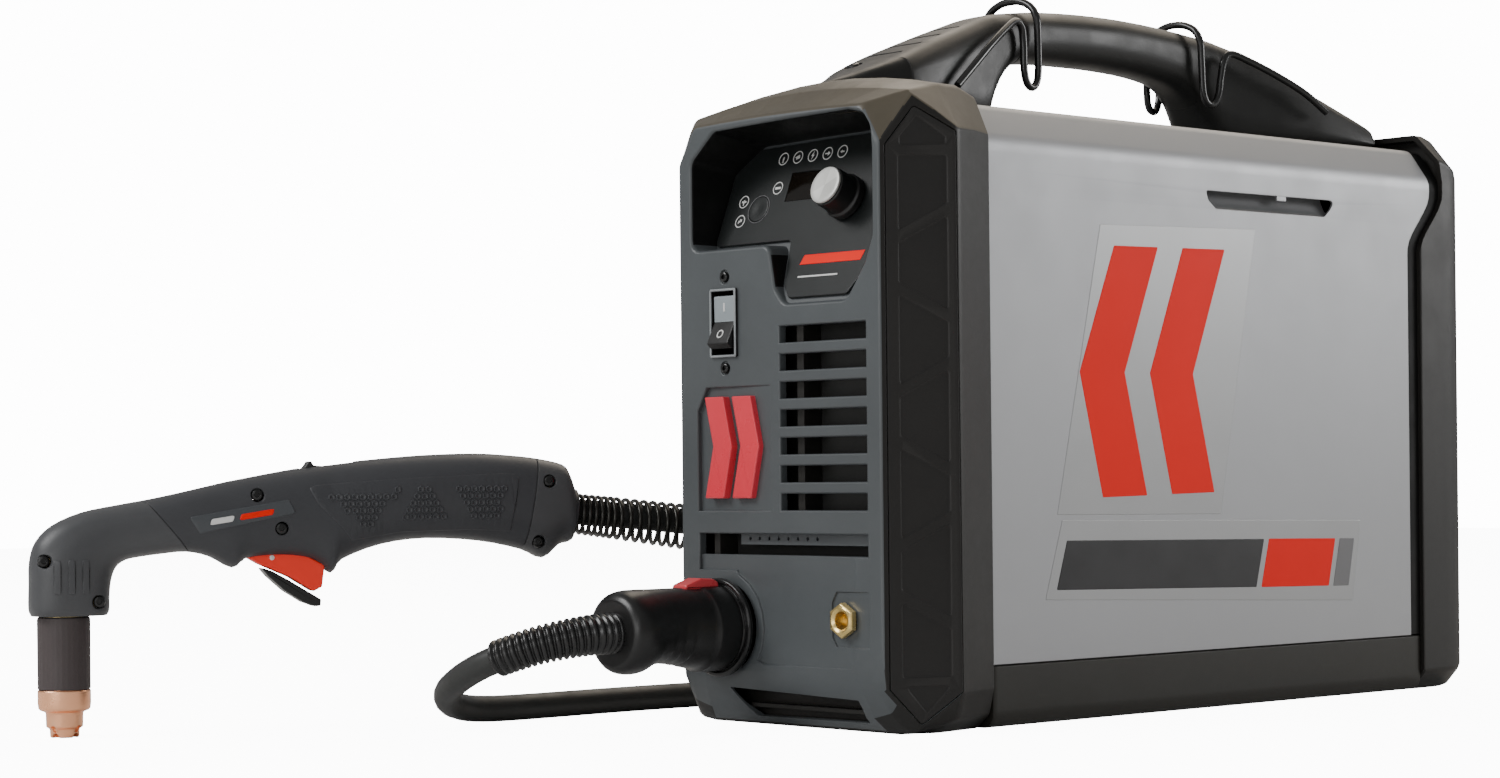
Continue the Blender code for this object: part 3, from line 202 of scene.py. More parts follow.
# Each finish: name, colour, roughness, and what else its surface needs
FINISHES = {
    # The front cap is one plastic given lit and shaded copies: lighter on its front face, and darker on its
    # flared sides and rear band as painted shade. The darker copy also serves the rear cap and the ribs and
    # bars behind the vents.
    "cap": ("cap_plastic", "484c4e", 0.40, {"spec": 0.45}),
    "cap_dark_and_shaded": ("cap_plastic_dark_and_shaded", "1e1d1b", 0.42, {"spec": 0.30}),
    # Painted reflection: a warm brown copy of the cap plastic for its upward faces, standing in for the warm
    # light from above.
    "cap_painted_warm_sheen": ("cap_plastic_painted_warm_sheen", "4b4539", 0.43, {"spec": 0.35}),
    "bumper": ("bumper_rubber", "262524", 0.50, {"spec": 0.25, "bump": 0.16}),
    "rail": ("rail_plastic", "252420", 0.42, {"spec": 0.30, "scratches": 0.25}),
    "black": ("black_plastic", "161616", 0.34, {"spec": 0.45}),
    "gloss_black": ("gloss_black_plastic", "0c0c0c", 0.20, {"spec": 0.5, "bump": 0.03, "grain": 700.0}),
    "seal": ("seal_rubber", "0b0b0a", 0.62, {"spec": 0.2, "wear": 0.0}),
    "panel": ("overlay_film", "171a1a", 0.32, {"spec": 0.3, "grain": 2600.0, "bump": 0.03,
                                               "gloss_spread": 0.02, "wear": 0.0}),
    # Painted shade: near black for the control recess's walls, which are the cap's own plastic.
    "pocket": ("recess_painted_shade", "0f0f0f", 0.40, {"spec": 0.3}),
    "glass": ("display_glass", "0e0a06", 0.08, {"gloss_spread": 0.03, "bump": 0.01, "wear": 0.0,
                                                "edge": 0.0}),
    "silver": ("silver_paint", "8f9092", 0.42, {"metallic": 0.55, "spread": 0.02, "grain": 1800.0,
                                                "bump": 0.09, "gloss_spread": 0.03, "wear": 0.15,
                                                "spec": 0.5}),
    "clear_film": ("decal_film", "9b9c9d", 0.34, {"metallic": 0.45, "spread": 0.015, "bump": 0.03,
                                                  "gloss_spread": 0.02, "wear": 0.0, "spec": 0.5}),
    "handle": ("handle_plastic", "161614", 0.38, {"spec": 0.32, "bump": 0.10}),
    "torch": ("torch_plastic", "434446", 0.42, {"spec": 0.4}),
    "torch_grip": ("torch_grip_rubber", "3a3b3e", 0.45, {"spec": 0.35, "bump": 0.12}),
    "trigger_red": ("trigger_plastic", "ff3c2c", 0.42, {"spec": 0.2, "spread": 0.04, "wear": 0.1}),
    "emblem": ("emblem_plastic", "da3644", 0.30, {"spread": 0.05, "wear": 0.3, "coat": 0.3}),
    "red": ("red_plastic", "d2444a", 0.30, {"spread": 0.05, "wear": 0.2}),
    "red_film": ("red_film", "f01a0c", 0.45, {"spec": 0.1, "spread": 0.03, "grain": 2500.0, "bump": 0.03,
                                              "gloss_spread": 0.02, "wear": 0.0}),
    "dark_film": ("dark_film", "232325", 0.34, {"spread": 0.04, "grain": 2500.0, "bump": 0.03, "wear": 0.0}),
    "grey_film": ("grey_film", "6e6e70", 0.34, {"spread": 0.04, "grain": 2500.0, "bump": 0.03, "wear": 0.0}),
    "ink": ("white_ink", "d8d8d6", 0.45, {"spread": 0.04, "grain": 2500.0, "bump": 0.03, "wear": 0.0}),
    "knob_face": ("knob_face_satin", "b9b9b5", 0.34, {"metallic": 0.25, "spread": 0.03, "grain": 1700.0,
                                                     "bump": 0.08}),
    "copper": ("copper", "ffb68c", 0.24, {"metallic": 0.8, "grain": 600.0, "bump": 0.06,
                                          "worn": (1.0, 0.72, 0.52), "stretch": (0.2, 0.2, 7.0)}),
    "brass": ("brass", "dcc07a", 0.30, {"metallic": 0.85, "grain": 700.0, "bump": 0.05,
                                        "worn": (1.0, 0.9, 0.6)}),
    "steel": ("steel", "9a9a9a", 0.30, {"metallic": 1.0, "grain": 700.0, "bump": 0.05}),
    # Painted highlight: pale grey for the rocker frame's front lip, standing in for the light on its edge.
    "bezel": ("switch_bezel_painted_highlight", "85898b", 0.38, {"metallic": 0.2}),
    "rocker_up": ("rocker_upper", "8a9296", 0.34, {"spec": 0.5}),
    "label": ("label_film", "46494c", 0.32, {"spread": 0.04, "grain": 2500.0, "bump": 0.03,
                                             "gloss_spread": 0.02, "wear": 0.0}),
    "retaining": ("fibre_composite", "423b3b", 0.55, {"grain": 1600.0, "bump": 0.16,
                                                      "stretch": (1.0, 1.0, 0.2)}),
    "lead": ("lead_rubber", "2e2f2e", 0.46, {"spread": 0.12, "grain": 900.0, "bump": 0.10,
                                             "gloss_spread": 0.1, "wear": 0.0, "edge": 0.0}),
    "relief": ("relief_rubber", "1c1c1c", 0.24, {"spec": 0.5, "grain": 700.0, "bump": 0.03}),
    "spring": ("spring_wire", "2c2b28", 0.24, {"metallic": 0.5, "edge": 0.0, "bump": 0.03}),
    "wire": ("hook_wire", "171716", 0.22, {"spec": 0.5, "grain": 500.0, "bump": 0.04, "edge": 0.0}),
    "board": ("circuit_board", "1c5a30", 0.40, {"grain": 800.0}),
    "winding": ("enamelled_wire", "b4622f", 0.30, {"metallic": 0.8, "grain": 300.0, "bump": 0.4,
                                                   "stretch": (1.0, 1.0, 14.0)}),
    "strap": ("woven_strap", "1c1c1c", 0.80, {"grain": 1500.0, "bump": 0.5}),
    "baffle": ("vent_baffle_plastic", "2a2a29", 0.70, {"wear": 0.0, "spec": 0.2, "edge": 0.0}),
    # Painted shade: near black for the backing set behind the louvre slots.
    "shade_backing": ("inner_painted_shade", "050505", 0.80, {"wear": 0.0, "spec": 0.1, "edge": 0.0}),
}
MADE = {}


def look(finish):
    """Each finish is made once, on first use."""
    if finish not in MADE:
        name, colour, rough, extra = FINISHES[finish]
        MADE[finish] = surface(name, srgb(colour), rough, **extra)
    return MADE[finish]


# ---------------------------------------------------------------- mesh helpers
def shade(obj, angle=35.0):
    obj.data.shade_smooth()
    obj.data.set_sharp_from_angle(angle=math.radians(angle))
    return obj


def mesh_object(name, verts, faces, angle=35.0):
    """A mesh from points in millimetres."""
    mesh = bpy.data.meshes.new(name)
    mesh.from_pydata([tuple(Vector(v) * MM) for v in verts], [], faces)
    bm = bmesh.new()
    bm.from_mesh(mesh)
    bmesh.ops.remove_doubles(bm, verts=bm.verts, dist=1e-7)
    bmesh.ops.recalc_face_normals(bm, faces=bm.faces)
    bm.to_mesh(mesh)
    bm.free()
    obj = bpy.data.objects.new(name, mesh)
    bpy.context.scene.collection.objects.link(obj)
    return shade(obj, angle)


def loft(name, rings, loop=False, angle=35.0, ends=True):
    """Joins rings of equal point counts; the ends are capped unless the rings close on themselves."""
    count = len(rings[0])
    verts = [point for ring in rings for point in ring]
    faces = []
    for k in range(len(rings) if loop else len(rings) - 1):
        here, there = k * count, (k + 1) % len(rings) * count
        for i in range(count):
            j = (i + 1) % count
            faces.append((here + i, here + j, there + j, there + i))
    if ends and not loop:
        faces.append(tuple(range(count - 1, -1, -1)))
        faces.append(tuple(range(len(verts) - count, len(verts))))
    return mesh_object(name, verts, faces, angle)


def spread(outline, axis, at):
    if axis == "X":
        return [(at, a, b) for a, b in outline]
    if axis == "Y":
        return [(a, at, b) for a, b in outline]
    return [(a, b, at) for a, b in outline]


def area_of(points):
    return 0.5 * sum(p[0] * q[1] - q[0] * p[1] for p, q in zip(points, points[1:] + points[:1]))


def grown(points, reach):
    """The outline moved outwards by a distance, or inwards if it is negative."""
    turn = 1.0 if area_of(points) > 0 else -1.0
    result = []
    count = len(points)
    for i, point in enumerate(points):
        here = Vector(point)
        before = (here - Vector(points[i - 1])).normalized()
        after = (Vector(points[(i + 1) % count]) - here).normalized()
        out_a = Vector((before.y, -before.x)) * turn
        out_b = Vector((after.y, -after.x)) * turn
        both = out_a + out_b
        result.append(tuple(here + both * (reach / max(0.4, both.dot(out_a)))))
    return result


def rounded(points, radius, steps=4):
    """The outline with each corner replaced by a short arc."""
    result = []
    count = len(points)
    for i, point in enumerate(points):
        corner = Vector(point)
        before = Vector(points[i - 1]) - corner
        after = Vector(points[(i + 1) % count]) - corner
        reach = radius / math.tan(max(before.angle(after), 0.2) / 2)
        reach = min(reach, 0.45 * before.length, 0.45 * after.length)
        start = corner + before.normalized() * reach
        end = corner + after.normalized() * reach
        for k in range(steps + 1):
            t = k / steps
            result.append(tuple(start * (1 - t) ** 2 + corner * 2 * t * (1 - t) + end * t * t))
    return result


def rectangle(x_low, x_high, z_low, z_high):
    return [(x_low, z_low), (x_high, z_low), (x_high, z_high), (x_low, z_high)]


def circle(centre, radius, count=40):
    turn = 2 * math.pi / count
    return [(centre[0] + radius * math.cos(turn * i), centre[1] + radius * math.sin(turn * i))
            for i in range(count)]


def stack(outline, axis, steps):
    """The outline at places along an axis; steps gives each as (place, growth)."""
    return [spread(grown(outline, growth), axis, at) for at, growth in steps]


def prism(name, outline, axis, low, high):
    return loft(name, [spread(outline, axis, low), spread(outline, axis, high)])


def slab(name, outline, axis, middle, edges):
    """A plate whose two faces have the same softened edge, given as (distance from its middle, growth)."""
    steps = [(middle - reach, growth) for reach, growth in edges]
    steps += [(middle + reach, growth) for reach, growth in reversed(edges)]
    return loft(name, stack(outline, axis, steps))


def pillow(name, outline, axis, base, top, soft):
    """A prism whose far edges are rounded over; base and top are places along the axis."""
    way = 1.0 if top > base else -1.0
    steps = [(base, 0.0)]
    for k in range(4):
        angle = math.pi / 2 * k / 3
        steps.append((top - way * soft * (1 - math.sin(angle)), -soft * (1 - math.cos(angle))))
    return loft(name, stack(outline, axis, steps))


def box(name, low, high):
    return prism(name, rectangle(low[0], high[0], low[1], high[1]), "Z", low[2], high[2])


def turned(name, profile, count=48, loop=False, angle=35.0):
    """Revolves (radius, height) points about Z.

    A loop profile makes a ring; another starts and ends on the axis, or a hundredth of a millimetre off it.
    """
    rings = [spread(circle((0.0, 0.0), radius, count), "Z", height) for radius, height in profile]
    return loft(name, rings, loop=loop, angle=angle, ends=False)


def placed(obj, place, direction):
    """Turns a mesh's +Z to a direction and moves its origin to a place."""
    turn = Vector(direction).to_track_quat("Z", "Y").to_matrix().to_4x4()
    obj.data.transform(Matrix.Translation(Vector(place) * MM) @ turn)
    return obj


def gathered(name, pieces):
    """Several closed bodies held as one object."""
    bm = bmesh.new()
    for piece in pieces:
        bm.from_mesh(piece.data)
        bpy.data.objects.remove(piece)
    mesh = bpy.data.meshes.new(name)
    bm.to_mesh(mesh)
    bm.free()
    obj = bpy.data.objects.new(name, mesh)
    bpy.context.scene.collection.objects.link(obj)
    return shade(obj)


def carve(obj, operation, *others, angle=35.0):
    """Applies exact booleans at once and removes the other solids."""
    for other in others:
        mod = obj.modifiers.new("carve", "BOOLEAN")
        mod.operation = operation
        mod.solver = "EXACT"
        mod.object = other
    bpy.context.view_layer.update()
    graph = bpy.context.evaluated_depsgraph_get()
    mesh = bpy.data.meshes.new_from_object(obj.evaluated_get(graph))
    obj.modifiers.clear()
    obj.data = mesh
    for other in others:
        bpy.data.objects.remove(other)
    return shade(obj, angle)


def cut(obj, *others, angle=35.0):
    return carve(obj, "DIFFERENCE", *others, angle=angle)


def swap_sides(obj):
    """Mirrors a mesh to the other side of the x = 0 plane."""
    obj.data.transform(Matrix.Diagonal((-1.0, 1.0, 1.0, 1.0)))
    obj.data.flip_normals()
    return obj


def within(place, outline):
    """Whether a place lies inside an outline."""
    hit = False
    for (x1, z1), (x2, z2) in zip(outline, outline[1:] + outline[:1]):
        if (z1 > place[1]) != (z2 > place[1]) and place[0] < (x2 - x1) * (place[1] - z1) / (z2 - z1) + x1:
            hit = not hit
    return hit


def smooth_path(points, step):
    """Points a step apart on a Catmull-Rom curve through the given ones."""
    nodes = [Vector(p) for p in points]
    nodes = [2 * nodes[0] - nodes[1]] + nodes + [2 * nodes[-1] - nodes[-2]]
    fine = []
    for a, b, c, d in zip(nodes, nodes[1:], nodes[2:], nodes[3:]):
        for k in range(24):
            t = k / 24
            fine.append(0.5 * (2 * b + (c - a) * t + (2 * a - 5 * b + 4 * c - d) * t * t
                               + (3 * b - a - 3 * c + d) * t ** 3))
    fine.append(nodes[-2])
    total = sum((q - p).length for p, q in zip(fine, fine[1:]))
    pieces = max(2, round(total / step))
    kept = [fine[0]]
    run = 0.0
    for p, q in zip(fine, fine[1:]):
        length = (q - p).length
        while len(kept) < pieces and run + length >= total / pieces * len(kept):
            kept.append(p.lerp(q, (total / pieces * len(kept) - run) / length))
        run += length
    kept.append(fine[-1])
    return kept


def between(rows, steps):
    """Rows of numbers made finer with a Catmull-Rom curve, a few steps to each pair of rows."""
    rows = [[2 * a - b for a, b in zip(rows[0], rows[1])]] + [list(r) for r in rows]
    rows.append([2 * a - b for a, b in zip(rows[-1], rows[-2])])
    fine = []
    for a, b, c, d in zip(rows, rows[1:], rows[2:], rows[3:]):
        for k in range(steps):
            t = k / steps
            fine.append([0.5 * (2 * q + (r - p) * t + (2 * p - 5 * q + 4 * r - s) * t * t
                                + (3 * q - p - 3 * r + s) * t ** 3) for p, q, r, s in zip(a, b, c, d)])
    fine.append(rows[-2])
    return fine


def tube(name, points, radius, resolution=5):
    """A round bar along points given in metres, with its radius in metres."""
    curve = bpy.data.curves.new(name, "CURVE")
    curve.dimensions = "3D"
    curve.bevel_depth = radius
    curve.bevel_resolution = resolution
    curve.use_fill_caps = True
    spline = curve.splines.new("POLY")
    spline.points.add(len(points) - 1)
    for place, point in zip(spline.points, points):
        place.co = (*point, 1.0)
    spline.use_smooth = True
    obj = bpy.data.objects.new(name, curve)
    bpy.context.scene.collection.objects.link(obj)
    return obj


def swept(name, path, radius_at, count=28, angle=60.0):
    """A round skin along a path in metres; its radius, in millimetres, follows the distance along it."""
    path = [Vector(p) for p in path]
    side = None
    run = 0.0
    rings = []
    for i, point in enumerate(path):
        ahead = (path[min(i + 1, len(path) - 1)] - path[max(i - 1, 0)]).normalized()
        side = (side - ahead * side.dot(ahead)).normalized() if side else ahead.orthogonal().normalized()
        other = ahead.cross(side)
        if i:
            run += (point - path[i - 1]).length / MM
        radius = radius_at(run)
        rings.append([point / MM + side * (radius * math.cos(2 * math.pi * k / count))
                      + other * (radius * math.sin(2 * math.pi * k / count)) for k in range(count)])
    return loft(name, rings, angle=angle)


# ---------------------------------------------------------------- finishing a piece
def keep(obj, finish, replaces=(), body=ROOT):
    """Gives a new piece its finish, the body it moves with and the CAD nodes it stands for."""
    obj.data.materials.clear()
    obj.data.materials.append(look(finish))
    if obj.type == "MESH":
        for face in obj.data.polygons:
            face.material_index = 0
        normals = obj.modifiers.new("normals", "WEIGHTED_NORMAL")
        normals.keep_sharp = True
    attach(obj, body)
    if replaces:
        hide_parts(*replaces)
    return obj


def zone(obj, finish, inside):
    """Gives another finish to the faces whose centre, in millimetres, and normal pass a test."""
    obj.data.materials.append(look(finish))
    index = len(obj.data.materials) - 1
    for face in obj.data.polygons:
        if inside(face.center / MM, face.normal):
            face.material_index = index


def repaint(finish, *names):
    """A CAD node whose shape is right stays and gets its finish."""
    for name in names:
        mesh = NODES[name].data
        mesh.materials.clear()
        mesh.materials.append(look(finish))


# ---------------------------------------------------------------- camera, light, floor
def studio():
    """The camera: level, turned to the front right, with a small upward shift."""
    turn = math.radians(47.86)
    roll = math.radians(-0.59)
    ahead = Vector((-math.sin(turn), math.cos(turn), 0.0))
    side = Vector((math.cos(turn), math.sin(turn), 0.0))
    up = Vector((0.0, 0.0, 1.0))
    right = side * math.cos(roll) + up * math.sin(roll)
    top = -side * math.sin(roll) + up * math.cos(roll)
    camera = bpy.data.objects.new("camera", bpy.data.cameras.new("camera"))
    bpy.context.scene.collection.objects.link(camera)
    pose = Matrix((right, top, -ahead)).transposed().to_4x4()
    pose.translation = (1.05242, -1.19088, 0.12025)
    camera.matrix_world = pose
    camera.data.sensor_width = 36.0
    camera.data.lens = 72.6
    camera.data.shift_y = 0.0579
    camera.data.clip_start = 0.05
    bpy.context.scene.camera = camera


def area_light(name, place, target, size, power, colour=(1.0, 1.0, 1.0)):
    light = bpy.data.lights.new(name, "AREA")
    light.shape = "RECTANGLE"
    light.size, light.size_y = size
    light.energy = power
    light.color = colour
    obj = bpy.data.objects.new(name, light)
    bpy.context.scene.collection.objects.link(obj)
    obj.location = place
    obj.rotation_euler = (Vector(target) - Vector(place)).to_track_quat("-Z", "Y").to_euler()


def lights():
    """Soft sources: key at the front left, fill at the front right, one at the rear right, and a warm one
    above, with a low one in front. The world lights the object dimly and is white where the camera sees it.
    """
    world = bpy.data.worlds.new("studio")
    world.use_nodes = True
    nodes, links = world.node_tree.nodes, world.node_tree.links
    seen = nodes.new("ShaderNodeLightPath")
    links.new(remap(nodes, links, seen.outputs["Is Camera Ray"], 0.0, 1.0, 0.36, 14.0),
              nodes["Background"].inputs["Strength"])
    nodes["Background"].inputs["Color"].default_value = (1.0, 1.0, 1.0, 1.0)
    bpy.context.scene.world = world
    area_light("key", (-0.9, -1.9, 1.7), (-0.05, -0.2, 0.15), (1.3, 1.0), 42.0)
    area_light("fill", (1.8, -2.4, 1.2), (0.0, -0.2, 0.15), (1.6, 1.6), 7.0)
    area_light("right", (1.7, 2.5, 0.95), (0.0, 0.1, 0.2), (1.2, 0.9), 34.0)
    area_light("top", (-0.4, 1.1, 1.7), (0.0, 0.0, 0.25), (2.0, 1.2), 19.0, (1.0, 0.88, 0.72))
    area_light("low", (0.5, -2.4, 0.4), (-0.1, -0.3, 0.1), (1.4, 0.6), 10.0)


def floor():
    """Pale floor, brighter where the camera sees it so that it meets the background."""
    half = 4000.0
    ground = mesh_object("floor", spread(rectangle(-half, half, -half, half), "Z", 0.0), [(0, 1, 2, 3)])
    mat = bpy.data.materials.new("floor_white")
    mat.use_nodes = True
    nodes, links = mat.node_tree.nodes, mat.node_tree.links
    shader = nodes["Principled BSDF"]
    shader.inputs["Roughness"].default_value = 0.7
    shader.inputs["Specular IOR Level"].default_value = 0.2
    seen = nodes.new("ShaderNodeLightPath").outputs["Is Camera Ray"]
    paint = blend_colour(nodes, links, seen, (0.75, 0.75, 0.75), (0.98, 0.98, 0.98))
    links.new(paint, shader.inputs["Base Color"])
    glow = remap(nodes, links, seen, 0.0, 1.0, 0.0, 11.0)
    shader.inputs["Emission Color"].default_value = (1.0, 1.0, 1.0, 1.0)
    links.new(glow, shader.inputs["Emission Strength"])
    ground.data.materials.append(mat)


# ---------------------------------------------------------------- front cap
CAP_STATIONS = [
    # y, half width, low and shoulder heights of the side, roof half width and height, foot half width and
    # height, and how far the roof's middle stands above its edges
    (-221.0, 68.2, 42.0, 270.6, 57.0, 288.4, 54.0, 31.0, 1.2),
    (-220.7, 69.2, 38.0, 271.9, 58.2, 289.7, 54.0, 27.0, 1.2),
    (-220.0, 69.9, 31.0, 272.7, 59.0, 290.5, 54.0, 23.0, 1.3),
    (-219.0, 70.2, 22.0, 273.8, 59.8, 291.2, 55.0, 19.0, 1.4),
    (-214.0, 72.45, 16.0, 281.4, 64.0, 293.2, 57.0, 8.0, 2.6),
    (-209.0, 74.9, 10.0, 289.2, 69.0, 295.2, 60.0, 2.0, 4.2),
    (-205.2, 76.3, 3.6, 294.2, 73.4, 296.6, 63.0, 0.4, 5.6),
    (-204.4, 76.8, 3.4, 293.8, 73.4, 297.0, 64.0, 0.2, 5.9),
    (-196.0, 81.2, 9.8, 287.6, 72.8, 299.0, 66.0, 0.1, 7.6),
    (-187.2, 85.5, 18.0, 280.6, 71.8, 300.9, 70.0, 0.0, 8.4),
    (-185.0, 85.9, 19.0, 279.4, 71.4, 301.3, 70.0, 0.0, 8.4),
    (-182.6, 85.4, 19.2, 279.2, 71.2, 301.7, 70.0, 0.0, 8.2),
    (-169.0, 81.2, 19.4, 279.6, 69.8, 302.0, 68.0, 0.0, 6.0),
    (-156.0, 77.5, 19.4, 279.0, 68.4, 298.2, 66.0, 0.0, 3.4),
    (-154.9, 76.6, 19.8, 278.2, 67.6, 297.2, 65.6, 0.4, 3.0),
]


def cap_ring(row):
    y, half, low, shoulder, top_half, top, foot, heel, crown = row
    side_mid = (foot + (half - foot) * 0.72, heel + (low - heel) * 0.35)
    right = [(foot, heel), side_mid, (half, low), (half, shoulder), (top_half, top)]
    right += [(top_half * t, top + crown * (1 - t * t)) for t in (0.75, 0.5, 0.25)]
    outline = right + [(0.0, top + crown)] + [(-x, z) for x, z in reversed(right)]
    return spread(rounded(outline, 5.0, 5), "Y", y)


def cap_hollow():
    """The cap's inside, a wall's thickness in from its outside and open at the rear."""
    rows = [(-216.6, 71.2, 20.0, 274.6, 53.8, 291.4, 56.0, 14.0, 0.0)]
    rows += [CAP_STATIONS[i] for i in (4, 6, 8, 10, 12)] + [(-150.0, *CAP_STATIONS[-1][1:])]
    rings = []
    for y, half, low, shoulder, top_half, top, foot, heel, _ in rows:
        right = [(foot, heel), (half, low), (half, shoulder), (top_half, top)]
        rings.append(spread(grown(right + [(-x, z) for x, z in reversed(right)], -3.0), "Y", y))
    return loft("cap_hollow", rings)


def receding(z):
    """The height that an outline point reaches at the panel: the recess's ceiling slopes down to it."""
    return z - CEILING_DROP * max(0.0, (z - 230.0) / 56.5)


def panel_y(z):
    return PANEL_LOW[0] + (z - PANEL_LOW[1]) * math.tan(PANEL_LEAN)


def panel_point(at, out=0.0):
    return Vector((at[0], panel_y(at[1]), at[1])) + PANEL_NORMAL * out


CONTROL_OUTLINE = [(-60.5, 230.0), (-60.5, 273.0), (-44.0, 286.6), (0.0, 287.8), (50.0, 288.6), (59.0, 286.4),
                   (63.6, 280.0), (64.5, 270.0), (64.5, 230.0), (59.5, 218.0), (47.0, 201.5), (5.0, 201.5),
                   (-1.0, 209.0), (-5.0, 230.0)]


def recess_solid(name, reach, rim, behind):
    """The control recess back to the panel; rim gives (y, growth, shift of its upper corner) steps."""
    rings = []
    for y, more, drawn in rim:
        edge = []
        for x, z in CONTROL_OUTLINE:
            shift = drawn if x > 45 and z > 265 else 0.0
            edge.append((x - shift, z - shift))
        rings.append(spread(grown(rounded(edge, 6.0, 4), reach + more), "Y", y))
    wide = grown(rounded(CONTROL_OUTLINE, 6.0, 4), reach)
    rings.append([(x * 0.97, panel_y(receding(z)) + behind, receding(z)) for x, z in wide])
    return loft(name, rings)


def mouth(name, outline, depth, rim=0.7):
    """A straight opening through the front wall with a rounded rim."""
    steps = [(FRONT - 2.0, 1.0), (FRONT, 1.0), (FRONT + 0.3 * rim, 0.45), (FRONT + 0.8 * rim, 0.1),
             (FRONT + 1.4 * rim, 0.0), (FRONT + depth, 0.0)]
    return loft(name, stack(outline, "Y", [(y, rim * more) for y, more in steps]))


def ramp_pocket(name, outline, deep, deep_x, flush_x, edge=0.5):
    """A shallow pocket in the front face: deep at one side and running out to the face at the other."""
    def depth(x):
        return deep * (flush_x - x) / (flush_x - deep_x)

    near = [(x, FRONT - 1.0, z) for x, z in grown(outline, edge)]
    rim = [(x, FRONT + 0.02, z) for x, z in grown(outline, edge)]
    neck = [(x, FRONT + min(0.5, 0.6 * max(0.05, depth(x))), z) for x, z in grown(outline, edge * 0.15)]
    far = [(x, FRONT + max(0.06, depth(x)), z) for x, z in outline]
    return loft(name, [near, rim, neck, far])


BADGE_POCKET = [(-57.0, 103.5), (-5.0, 103.5), (-5.0, 163.0), (-50.3, 163.0), (-57.0, 152.0)]
VENTS = [rectangle(2.0, 60.2, 190.8 - 13.2 * i - 7.8, 190.8 - 13.2 * i) for i in range(7)]
WIDE_SLOT = rectangle(-56.5, 60.3, 82.5, 92.5)


def lower_panel_outline():
    """The field under the wide slot: it steps down at the left and curves round the torch socket."""
    points = [(-56.5, 82.8), (-56.5, 75.2), (-30.0, 75.2)]
    for k in range(7):
        angle = math.radians(68 - 17 * k)
        points.append((SOCKET_AT[0] + 27.0 * math.cos(angle), SOCKET_AT[1] + 27.0 * math.sin(angle)))
    return points + [(-11.0, 30.5), (49.0, 30.5), (52.0, 40.0), (52.0, 82.8)]


def bumper_outline(inset):
    points = [(0.2, 21.2), (0.2, 271.6), (15.4, 291.0), (37.7, 278.8), (38.6, 19.1), (16.7, 3.3)]
    return rounded(grown(points, -inset), 1.6, 3)


def on_flare(points, out):
    return [FLARE_AT + FLARE * t + Vector((0.0, 0.0, z)) + FLARE_NORMAL * out for t, z in points]


def bumper_fields():
    """The bumper's sunk fields, as distance along the flare and height: a zigzag between two triangles."""
    left, right, rib, period = 8.0, 31.6, 3.0, 70.6
    top_left, top_right, low_left, low_right = 229.0, 241.6, 205.4, 193.0
    corners = [(left, right, 266.2, 266.6)]
    for i in range(3):
        corners.append((left, right, top_left - period * i, top_right - period * i))
        corners.append((left, right, low_left - period * i, low_right - period * i))
    fields = [[(8.8, 271.0), (8.8, 274.6), (17.2, 284.6), (31.0, 275.2), (31.0, 272.0)]]
    for i, (above, below) in enumerate(zip(corners, corners[1:] + [(left, right, 24.4, 24.4)])):
        lift = 0.0 if i == 0 else rib
        fields.append([(left, below[2] + rib), (left, above[2] - lift), (right, above[3] - lift),
                       (right, below[3] + rib)])
    fields.append([(9.5, 22.9), (31.2, 22.9), (19.5, 10.8)])
    return fields


def bumper(name):
    """The rubber field let into the flared side, with its sunk zigzag."""
    plate = loft(name, [on_flare(bumper_outline(inset), out)
                        for inset, out in ((1.6, -1.5), (1.6, -0.35), (1.8, -0.1), (2.3, 0.0))])
    wells = []
    for field in bumper_fields():
        soft = rounded(field, 1.2, 2)
        steps = ((0.7, 0.2), (0.55, 0.0), (0.1, -0.35), (-0.3, -0.6))
        wells.append(loft("well", [on_flare(grown(soft, growth), out) for growth, out in steps]))
    return cut(plate, gathered("wells", wells))


